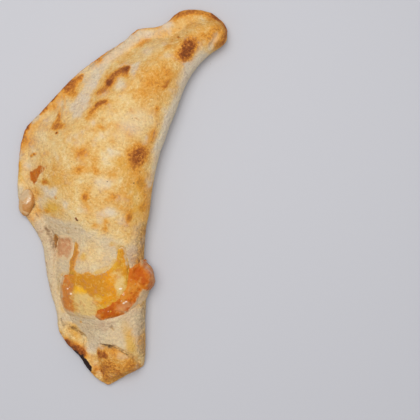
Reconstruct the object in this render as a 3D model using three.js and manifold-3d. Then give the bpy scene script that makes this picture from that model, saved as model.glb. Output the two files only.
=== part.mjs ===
// A panzerotto: a crescent of folded pizza dough, baked, with a tear near one end that shows its filling.
//
// Millimetres. +Y runs from the end with the turned-up flap to the end with the round knob, +X points to
// the folded side and +Z is up. The crescent bends about a vertical axis on its +X side, so a place in it
// is given by an angle along the bend in degrees, a reach across it and a height. Reach is measured
// outwards from the middle line: the crimped seam has positive reaches and the fold has negative ones.

import * as THREE from "three";
import { LoftGeometry } from "three/addons/geometries/LoftGeometry.js";
import { mergeVertices } from "three/addons/utils/BufferGeometryUtils.js";
import Module from "manifold-3d";

const wasm = await Module();
wasm.setup();

const { clamp, degToRad, lerp, radToDeg } = THREE.MathUtils;

// ---- Driving dimensions -------------------------------------------------------------------------------

const BEND_RADIUS = 195.4; // of the crescent's middle line
const FLAP_END = -45.6; // angle of the end with the turned-up flap
const KNOB_END = 46.5; // angle of the round end
const CREST = 0.6; // place of the crown, as a share of the way from the seam to the fold
const WIDEST_RIM = 0.4; // most of a section's width that the rim takes
const FOLD_ROUNDNESS = 2.4; // exponent of the curve over the fold, where 2 is an ellipse
const FOLD_BULGE = 0.42; // height of the fold's widest line, as a share of the crown's
const FOLD_UNDERCUT = 0.22; // width that the fold rounds under, as a share of the dough's width
const GAP = 0.3; // between neighbouring solids

const WALL = 5; // dough over the filling
const BASE = 4.5; // dough under the filling
const THINNEST_FILLING = 0.6;
const FILLING_START = -34; // angles between which the inside is filled
const FILLING_END = 31;
const CHEESE_FROM = 0.38; // shares of the way from the seam to the fold
const TOMATO_FROM = 0.74;
const FILLING_INSET = 6; // from the fold's edge
const FILLING_CORNER = 7; // width of the filling's lower corner beside the fold

const TEAR_FLOOR = 7; // height that the tear reaches down to
const SINK = 0.7; // filling in the tear below the skin around it
const FLAP_THICKNESS = 4.4;
const FLAP_ROOT = 2; // depth that the flap sinks into the skin
const FLAP_EDGE = 0.8; // depth of the flap's upper edges below the skin

// Sections along each form, and steps around them.
const STATIONS = 66;
const FILLING_STATIONS = 22;
const FLAP_STATIONS = 9;
const CORNER_STEPS = 3;

// Each profile is a smooth curve through values at a few angles along the bend.
const profile = (...stations) => {
  const angles = stations.map(([angle]) => angle);
  const values = stations.map(([, value]) => value);
  const curve = new THREE.CubicInterpolant(angles, values, 1);
  return (angle) => curve.evaluate(clamp(angle, FLAP_END, KNOB_END))[0];
};

const seamReach = profile(
  [-45.6, 9], [-43.5, 14], [-40.5, 17.6], [-37.5, 20], [-34.5, 25.6], [-31.5, 29.4], [-28.5, 27.8],
  [-24, 29.7], [-18, 32.2], [-15, 34], [-12, 40.4], [-9, 51], [-6.5, 57], [-2, 61.8],
  [3, 66], [6, 66], [8.5, 61.4], [12, 57.4], [18, 51.2], [24, 44.4], [28, 39.8], [31.5, 39],
  [34.5, 30.8], [36.5, 28.8], [39.5, 29.5], [42, 25.5], [44.5, 19], [45.8, 13], [46.5, 6],
);
const foldReach = profile(
  [-45.6, -22], [-43, -27.8], [-39, -33], [-34, -38], [-29, -42.4], [-24, -44.8], [-18, -44.4],
  [-8, -44.6], [-1, -44], [5, -40.8], [12, -36.4], [18, -32.6], [24, -27.4], [29, -21],
  [33, -15.9], [37, -12.4], [41, -10.8], [43.5, -10.5], [45, -8.5], [46, -5], [46.5, -1],
);
const crownHeight = profile(
  [-45.6, 6], [-45.1, 10.5], [-44, 14.5], [-42, 17], [-37, 20.5], [-31, 23.5], [-25, 26.5], [-19, 28],
  [-14, 28.5], [-8, 32], [-1, 34.5], [8, 35.5], [17, 34.5], [25, 31.5], [31, 28], [36, 24.5], [40, 24],
  [43, 22.5], [45, 18.5], [46.1, 12.5], [46.5, 6],
);
const rimWidth = profile(
  [-45.6, 3], [-43, 6], [-39, 7], [-36.5, 9], [-34, 14.5], [-31, 12.5], [-28.5, 8], [-25, 6.5],
  [-20, 6.5], [-16, 9], [-13, 11], [-7, 12], [-3, 8], [6, 6.5], [16, 6.5], [24, 7.5], [30, 10],
  [35, 11], [39, 12], [43, 9], [46.5, 3],
);
const rimThickness = profile(
  [-45.6, 6], [-40, 9], [-33, 8], [-26, 6.5], [-15, 7.4], [-5, 6.5], [28, 6.5], [34, 8], [38, 11],
  [42, 13], [45, 9], [46.5, 5],
);
const creaseDepth = profile(
  [-45.6, 0.5], [-39, 2.4], [-33, 2.6], [-28, 1.2], [-21, 1], [-16, 2.4], [-12, 2.2], [-7, 3.4], [-3, 1],
  [3, 0.2], [15, 0.2], [22, 0.8], [30, 1.8], [35, 1.4], [39, 0.4], [46.5, 0.2],
);

// How the skin rises from the crease to the crown: 1 is like a quarter of a sine, less is fuller.
const pillowHollow = profile([-45.6, 1.1], [-33, 1.15], [-28, 0.75], [-20, 0.75], [-15, 1], [-11, 1.15]);

// Broad swellings, and hollows with a negative rise, on the top skin.
const SWELLINGS = [
  { angle: 26, reach: 2, along: 7, across: 17, rise: 2.6 },
  { angle: 9.5, reach: -15, along: 6, across: 13, rise: 1.8 },
  { angle: 4, reach: 27, along: 8, across: 16, rise: 3.4 },
  { angle: -3, reach: -20, along: 4.5, across: 12, rise: 1.4 },
  { angle: 16, reach: 35, along: 6, across: 8, rise: -2.8 },
  { angle: 33, reach: 13, along: 2.4, across: 9, rise: -1.8 },
  { angle: 36.8, reach: 5, along: 2.8, across: 10, rise: 1.8 },
  { angle: -13.6, reach: 8, along: 3, across: 16, rise: -3 },
  { angle: -24, reach: -4, along: 4, across: 22, rise: 2 },
  { angle: -33.2, reach: -5, along: 2.4, across: 16, rise: -2.4 },
  { angle: -40, reach: -19, along: 2.6, across: 8, rise: 2 },
];

// Outlines as seen from above, as [angle, reach] corners that a smooth curve passes through.
const TEAR_OUTLINE = [
  [-20.6, 15.5], [-22.4, 20], [-25, 21.2], [-27.4, 20.8], [-28.4, 13], [-29.5, 4], [-30.8, -6],
  [-31.2, -16], [-30.6, -28], [-28.6, -40], [-24, -56], [-19.5, -56], [-18.7, -43], [-20, -35],
  [-17.4, -32.4], [-14, -30.6], [-14.2, -26.4], [-17.6, -24.8], [-20.4, -17.5], [-21, -5], [-20.5, 6.5],
];
const TOMATO_OUTLINE = [
  [-30.2, -1], [-33.5, 2], [-34, -16], [-32, -34], [-28, -60], [-16, -60], [-16, -40], [-20, -34.6],
  [-22.6, -32.8], [-25, -26.4], [-27.4, -19], [-28.2, -9],
];

// The flap is a corner of dough turned up over the end: a hinge along the end and a free front edge.
const FLAP_HINGE = [[-45.2, 11], [-45.7, -19.5]];
const FLAP_FRONT = [[-37, 1], [-37.5, -5], [-38.5, -11.5], [-40.8, -17.5], [-44.4, -20.6]];

// Lumps are half sizes along the bend, across it and upwards about a centre.
const TOMATO_BULGE = { angle: -22.5, reach: -43, height: 14.5, along: 10.8, across: 7.2, up: 9.5 };
const SEAM_CHEESE = { angle: -7, reach: 49.6, height: 6.2, along: 10.2, across: 5.6, up: 4.1 };

// A slice of ham lies just under a small window in the skin and dives into the filling.
const HAM = { angle: -15, width: 15.5, thickness: 2.3, cover: 0.8, outer: 24, diveFrom: 8, inner: -6 };
const HAM_LOWEST = 2;
const HAM_SLOPE = 0.6;
const HAM_WINDOW = [[-13.2, 10], [-13.1, 21.2], [-16.6, 21], [-17, 14], [-16.2, 9.8]];
const OVER_SKIN = 3; // reach of the window's cut above the ham

// ---- Places and outlines ------------------------------------------------------------------------------

const place = (angle, reach, height) => {
  const turn = degToRad(angle);
  const radius = BEND_RADIUS + reach;
  return new THREE.Vector3(-radius * Math.cos(turn), radius * Math.sin(turn), height);
};

const span = (from, to, steps) =>
  Array.from({ length: steps + 1 }, (_, step) => lerp(from, to, step / steps));

// A closed smooth outline through corners, moved outwards by a clearance.
function outline(corners, clearance) {
  const curve = new THREE.CatmullRomCurve3(corners.map(([angle, reach]) => place(angle, reach, 0)), true);
  const points = curve.getPoints(CORNER_STEPS * corners.length).slice(1);
  const side = THREE.ShapeUtils.isClockWise(points) ? -1 : 1;
  return points.map((point, index) => {
    const before = points.at(index - 1);
    const after = points[(index + 1) % points.length];
    const outwards = new THREE.Vector2(after.y - before.y, before.x - after.x).normalize();
    return new THREE.Vector2(point.x, point.y).addScaledVector(outwards, side * clearance);
  });
}

// ---- The dough's outer form ---------------------------------------------------------------------------

// The reaches that divide a section: seam edge, crease behind the rim, crown, fold edge.
function landmarks(angle) {
  const seam = seamReach(angle);
  const fold = foldReach(angle);
  const crease = seam - Math.min(rimWidth(angle), WIDEST_RIM * (seam - fold));
  const crest = lerp(seam, fold, CREST);
  return { seam, crease, crest, fold };
}

const reliefAt = (angle, reach) =>
  SWELLINGS.reduce((sum, { angle: centre, reach: middle, along, across, rise }) => {
    const far = Math.hypot((angle - centre) / along, (reach - middle) / across);
    return sum + rise * Math.exp(-far * far);
  }, 0);

// Height of the top skin: a bead along the seam, a crease behind it, a pillow over the filling that
// rises gently to its crown, and a steep round side down to the fold's widest line.
function topHeight(angle, reach) {
  const { seam, crease, crest, fold } = landmarks(angle);
  const bead = rimThickness(angle);
  const valley = bead - creaseDepth(angle);
  const widest = FOLD_BULGE * crownHeight(angle);
  const crown = crownHeight(angle) + reliefAt(angle, reach);
  if (reach > crease) {
    const across = Math.min(1, (2 * (reach - crease)) / (seam - crease) - 1);
    return lerp(across < 0 ? valley : bead / 2, bead, Math.sqrt(1 - across * across));
  }
  if (reach > crest) {
    const climb = Math.sin((Math.PI / 2) * ((crease - reach) / (crease - crest)));
    return lerp(valley, crown, climb ** pillowHollow(angle));
  }
  const outwards = Math.min(1, (crest - reach) / (crest - fold));
  return lerp(widest, crown, Math.sqrt(1 - outwards ** FOLD_ROUNDNESS));
}

// One closed section across the bend: over the top from the seam to the fold, and back underneath.
function doughSection(angle, sink) {
  const { seam, crease, crest, fold } = landmarks(angle);
  const widest = FOLD_BULGE * crownHeight(angle);
  const undercut = FOLD_UNDERCUT * (seam - fold);
  const overRim = span(0, Math.PI, 6).map((turn) => lerp(crease, seam, (1 + Math.cos(turn)) / 2));
  const overPillow = span(crease, crest, 9).slice(1);
  const overFold = span(0, Math.PI / 2, 8).slice(1).map((turn) => lerp(crest, fold, Math.sin(turn)));
  const over = [...overRim, ...overPillow, ...overFold].map((reach) =>
    place(angle, reach, topHeight(angle, reach) - sink),
  );
  const underFold = span(0, Math.PI / 2, 4).slice(1).map((turn) =>
    place(angle, fold + undercut * (1 - Math.cos(turn)), widest * (1 - Math.sin(turn))),
  );
  const base = [0.55, 0.8].map((share) => place(angle, lerp(fold + undercut, seam, share), 0));
  const heel = place(angle, lerp(seam, crease, 0.12), 0.22 * rimThickness(angle));
  return [...over, ...underFold, ...base, heel];
}

// One chord of the flap, from the hinge to the front edge, as a flat loop that drapes over the skin.
function flapSection(share, front) {
  const [seamEnd, foldEnd] = FLAP_HINGE.map(([angle, reach]) => new THREE.Vector2(angle, reach));
  const hinge = seamEnd.lerp(foldEnd, share);
  const tip = front.getPoint(share);
  const drape = (along, lift) => {
    const [angle, reach] = [lerp(hinge.x, tip.x, along), lerp(hinge.y, tip.y, along)];
    return place(angle, reach, Math.max(FLAP_ROOT, topHeight(angle, reach) + lift));
  };
  const rounded = (along) => FLAP_THICKNESS * Math.sqrt(1 - (2 * along - 1) ** 6) - FLAP_EDGE;
  const upper = span(0, 1, 6).map((along) => drape(along, rounded(along)));
  const lower = span(1, 0, 6).slice(1, -1).map((along) => drape(along, -FLAP_ROOT));
  return [...upper, ...lower];
}

// A closed section of the filling between two shares of the way from the seam to the fold.
function fillingSection(angle, fromShare, toShare, clearance) {
  const { seam, fold } = landmarks(angle);
  const from = lerp(seam, fold, fromShare) + clearance;
  const to = Math.max(fold + FILLING_INSET, lerp(seam, fold, toShare)) - clearance;
  const floor = BASE - clearance;
  const roof = span(from, to, 6).map((reach) => {
    const height = topHeight(angle, reach) - WALL + 1.5 * clearance;
    return place(angle, reach, Math.max(height, floor + THINNEST_FILLING));
  });
  const corner = place(angle, Math.min(to + FILLING_CORNER, from - 1), floor);
  return [...roof, corner, place(angle, from, floor)];
}

// One section of the ham slice, upright across its length, with a rise added on top.
function hamSection(reach, clearance, rise) {
  const dive = HAM_SLOPE * Math.max(0, HAM.diveFrom - reach);
  const under = topHeight(HAM.angle, reach) - HAM.cover - HAM.thickness - dive;
  const bottom = Math.max(HAM_LOWEST, under) - clearance;
  const top = bottom + HAM.thickness + 2 * clearance + rise;
  const shoulder = lerp(bottom, top, 0.65);
  const edge = radToDeg((HAM.width / 2 + clearance) / (BEND_RADIUS + reach));
  const corners = [[-1, bottom], [-1, shoulder], [-0.8, top], [0.8, top], [1, shoulder], [1, bottom]];
  return corners.map(([side, height]) => place(HAM.angle + side * edge, reach, height));
}

// ---- Solids -------------------------------------------------------------------------------------------

function solidOf(geometry) {
  const shell = new THREE.BufferGeometry();
  shell.setAttribute("position", geometry.getAttribute("position"));
  shell.setIndex(geometry.index);
  const merged = mergeVertices(shell, 1e-4);
  return new wasm.Manifold(
    new wasm.Mesh({
      numProp: 3,
      vertProperties: merged.getAttribute("position").array,
      triVerts: new Uint32Array(merged.index.array),
    }),
  );
}

const loftOf = (sections) =>
  solidOf(new LoftGeometry(sections, { closed: true, capStart: true, capEnd: true }));

const loaf = (sink) =>
  loftOf(span(FLAP_END, KNOB_END, STATIONS).map((angle) => doughSection(angle, sink)));

function flap() {
  const corners = FLAP_FRONT.map(([angle, reach]) => new THREE.Vector3(angle, reach, 0));
  const front = new THREE.CatmullRomCurve3(corners);
  return loftOf(span(0.97, 0, FLAP_STATIONS).map((share) => flapSection(share, front)));
}

function filling(fromShare, toShare, clearance) {
  const shorter = radToDeg((GAP - clearance) / BEND_RADIUS);
  const angles = span(FILLING_START + shorter, FILLING_END - shorter, FILLING_STATIONS);
  return loftOf(angles.map((angle) => fillingSection(angle, fromShare, toShare, clearance)));
}

function hamSlice(clearance, rise = 0) {
  const reaches = span(HAM.inner - clearance, HAM.outer + clearance, 9);
  return loftOf(reaches.map((reach) => hamSection(reach, clearance, rise)));
}

// An upright prism over an outline, taller than the dough.
function prism(corners, clearance, floor) {
  const shape = new THREE.Shape(outline(corners, clearance));
  const geometry = new THREE.ExtrudeGeometry(shape, { depth: 60, bevelEnabled: false });
  return solidOf(geometry.translate(0, 0, floor - clearance));
}

function lump({ angle, reach, height, along, across, up }, clearance) {
  const geometry = new THREE.SphereGeometry(1, 18, 10);
  geometry.scale(across + clearance, along + clearance, up + clearance);
  geometry.rotateZ(degToRad(-angle));
  return solidOf(geometry.translate(...place(angle, reach, height)));
}

// ---- The pieces ---------------------------------------------------------------------------------------

// Tomato lies along the fold inside, crosses the tear as a band, and bulges out over the fold.
function tomatoSolid(clearance) {
  const band = loaf(SINK - clearance)
    .intersect(prism(TEAR_OUTLINE, clearance - GAP, TEAR_FLOOR + GAP))
    .intersect(prism(TOMATO_OUTLINE, clearance, TEAR_FLOOR));
  return filling(TOMATO_FROM, 1, clearance).add(band).add(lump(TOMATO_BULGE, clearance));
}

// Cheese fills the rest of the inside and the rest of the tear.
function cheeseSolid() {
  const inTear = loaf(SINK).intersect(prism(TEAR_OUTLINE, -GAP, TEAR_FLOOR + GAP));
  return filling(CHEESE_FROM, TOMATO_FROM, 0)
    .add(inTear)
    .subtract(tomatoSolid(GAP))
    .subtract(hamSlice(GAP));
}

// The dough is one folded sheet: the outer form and the flap, less the filling, the tear and what shows
// through the skin.
function doughSolid() {
  return loaf(0)
    .add(flap())
    .subtract(filling(CHEESE_FROM, TOMATO_FROM, GAP))
    .subtract(filling(TOMATO_FROM, 1, GAP))
    .subtract(prism(TEAR_OUTLINE, 0, TEAR_FLOOR))
    .subtract(lump(TOMATO_BULGE, GAP))
    .subtract(lump(SEAM_CHEESE, GAP))
    .subtract(hamSlice(GAP))
    .subtract(hamSlice(GAP, OVER_SKIN).intersect(prism(HAM_WINDOW, 0, 0)));
}

// A named mesh of a solid's largest body: cuts between curved forms can leave crumbs, which are dropped.
function pieceOf(name, solid, color, roughness) {
  const [main] = solid.decompose().sort((one, other) => other.volume() - one.volume());
  const { vertProperties, triVerts } = main.getMesh();
  const geometry = new THREE.BufferGeometry();
  geometry.setAttribute("position", new THREE.BufferAttribute(vertProperties, 3));
  geometry.setIndex(new THREE.BufferAttribute(triVerts, 1));
  geometry.computeVertexNormals();
  const piece = new THREE.Mesh(geometry, new THREE.MeshStandardMaterial({ color, roughness, metalness: 0 }));
  piece.name = name;
  return piece;
}

const panzerotto = new THREE.Group();
panzerotto.add(
  pieceOf("dough", doughSolid(), 0xe3c18c, 0.75),
  pieceOf("cheese", cheeseSolid(), 0xf0c45a, 0.4),
  pieceOf("tomato", tomatoSolid(0), 0xd97a2f, 0.4),
  pieceOf("ham", hamSlice(0), 0xd99a80, 0.5),
  pieceOf("seam_cheese", lump(SEAM_CHEESE, 0), 0xdcb88e, 0.3),
);

// The origin is at the middle of the base.
const box = new THREE.Box3().setFromObject(panzerotto);
const middle = box.getCenter(new THREE.Vector3());
panzerotto.position.set(-middle.x, -middle.y, -box.min.z);

const group = new THREE.Group().add(panzerotto);
export default group;
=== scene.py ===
"""A panzerotto: a crescent of folded pizza dough, baked, with a tear near one end that shows its filling.

Metres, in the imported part's frame: +Y runs from the end with the turned-up flap to the end with the round
knob, +X points to the folded side and +Z is up. The crescent bends about an upright axis on its +X side.
Marks on its skin are given by an angle along the bend in degrees and a reach across it in millimetres: the
seam has positive reaches and the fold has negative ones.
"""

from typing import NamedTuple

import bmesh
import bpy
import numpy as np
from mathutils import Matrix, Vector
from mathutils.bvhtree import BVHTree


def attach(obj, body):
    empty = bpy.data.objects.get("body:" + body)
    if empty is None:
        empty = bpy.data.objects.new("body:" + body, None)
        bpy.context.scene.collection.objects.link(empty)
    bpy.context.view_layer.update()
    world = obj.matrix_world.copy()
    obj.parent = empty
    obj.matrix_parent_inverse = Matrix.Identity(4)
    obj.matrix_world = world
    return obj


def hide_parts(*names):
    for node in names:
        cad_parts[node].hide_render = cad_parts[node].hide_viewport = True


bl_info = {
    "name": "Panzerotto",
    "version": (1, 0, 0),
    "blender": (4, 5, 0),
    "location": "View3D > Sidebar > Panzerotto",
    "description": "Baked skin, melted filling and studio for a folded and torn panzerotto",
    "category": "Object",
}

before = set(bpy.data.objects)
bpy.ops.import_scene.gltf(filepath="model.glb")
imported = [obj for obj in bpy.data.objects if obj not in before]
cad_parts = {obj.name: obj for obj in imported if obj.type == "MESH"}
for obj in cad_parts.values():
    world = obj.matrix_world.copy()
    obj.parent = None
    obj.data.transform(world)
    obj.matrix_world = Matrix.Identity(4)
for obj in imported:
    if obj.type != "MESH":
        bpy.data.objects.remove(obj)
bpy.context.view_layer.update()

MM = 0.001
BEND_CENTRE = np.array([0.1912, -0.0019])
BEND_RADIUS = 0.1954
BEND_ENDS = (-45.5, 46.6)  # angles in degrees near the part's two ends
OVERHEAD = 0.1  # a height above the whole part

WELD_GAP = 0.01 * MM
CRUST_SMOOTHING = 12  # rounds, as for the other pieces
INNER_SHARE = 0.1  # of the faces on the hollow's walls, which hardly show
TEAR_SINK = 0.7 * MM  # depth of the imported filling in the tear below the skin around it
POOL_STEP = 0.7 * MM
POOL_MARGIN = 3.5 * MM
POOL_LOWEST = 3.5 * MM  # a pool doesn't go where the skin is lower than this
POOL_SOFTENING = 4
POOL_THICKNESS = 2.5 * MM
FILLING_SMOOTHING = 4
FILLING_SWELL = 0.3 * MM  # growth that keeps a thin packed filling whole
HAM_THICKNESS = 1.4 * MM
HAM_STEP = 0.5 * MM
BUBBLE_STEP = 0.4 * MM
BUBBLE_SMOOTHING = 8

SCATTERING = 2 * MM  # how far light sinks in
# What the shaders of the cheese and the tomato have in common.
WET_FILLING = {
    "Subsurface Weight": 0.03,
    "Subsurface Scale": SCATTERING,
    "Specular IOR Level": 0.2,
    "Coat Roughness": 0.12,
}

Property = bpy.props


# ---- Marks on the skin --------------------------------------------------------------------------------


class Spot(NamedTuple):
    """A round mark at a place, with its half sizes in millimetres along the bend and across it."""

    angle: float
    reach: float
    along: float
    across: float
    amount: float
    crispness: float = 1.2

    def on(self, skin):
        """1 in the middle and fading outwards, from a flatter middle if it is crisper."""
        along = (skin.turn - np.radians(self.angle)) * skin.radius / MM
        across = skin.reach - self.reach
        return np.exp(-(((along / self.along) ** 2 + (across / self.across) ** 2) ** self.crispness))


class Stroke(NamedTuple):
    """A line through places, each an angle and a reach, with a half width in millimetres."""

    places: list
    width: float
    amount: float
    crispness: float = 1.3

    def on(self, skin):
        """1 on the line, and fading to its sides."""
        return np.exp(-((skin.distance(self.places) / self.width) ** (2 * self.crispness)))


class Patch(NamedTuple):
    """An area inside a closed outline of places, with a soft edge of so many millimetres."""

    outline: list
    softness: float
    amount: float

    def on(self, skin):
        """1 inside and 0 outside."""
        return smooth_step(-self.softness, self.softness, skin.depth_inside(self.outline))


# The corner of dough turned up over the end.
FLAP = [
    (-36.6, 0), (-37.3, -6), (-38.2, -10.6), (-40, -15.4), (-42, -18.8), (-44, -20.8), (-46, -20.6),
    (-46, 10.6), (-43, 9), (-40, 7.6), (-37.8, 6), (-36.9, 3),
]

# Lines that more than one kind of mark follows: the fold at the waist, and the drip over the tear's edge.
WAIST_FOLD = [(-9.6, 33), (-10.4, 24), (-11, 14), (-11, 6)]
DRIP = [(-13.8, 6.2), (-15.4, 7.2), (-17.4, 9), (-19.2, 9.2)]
DRIP_END = (-20.6, 8)

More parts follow.
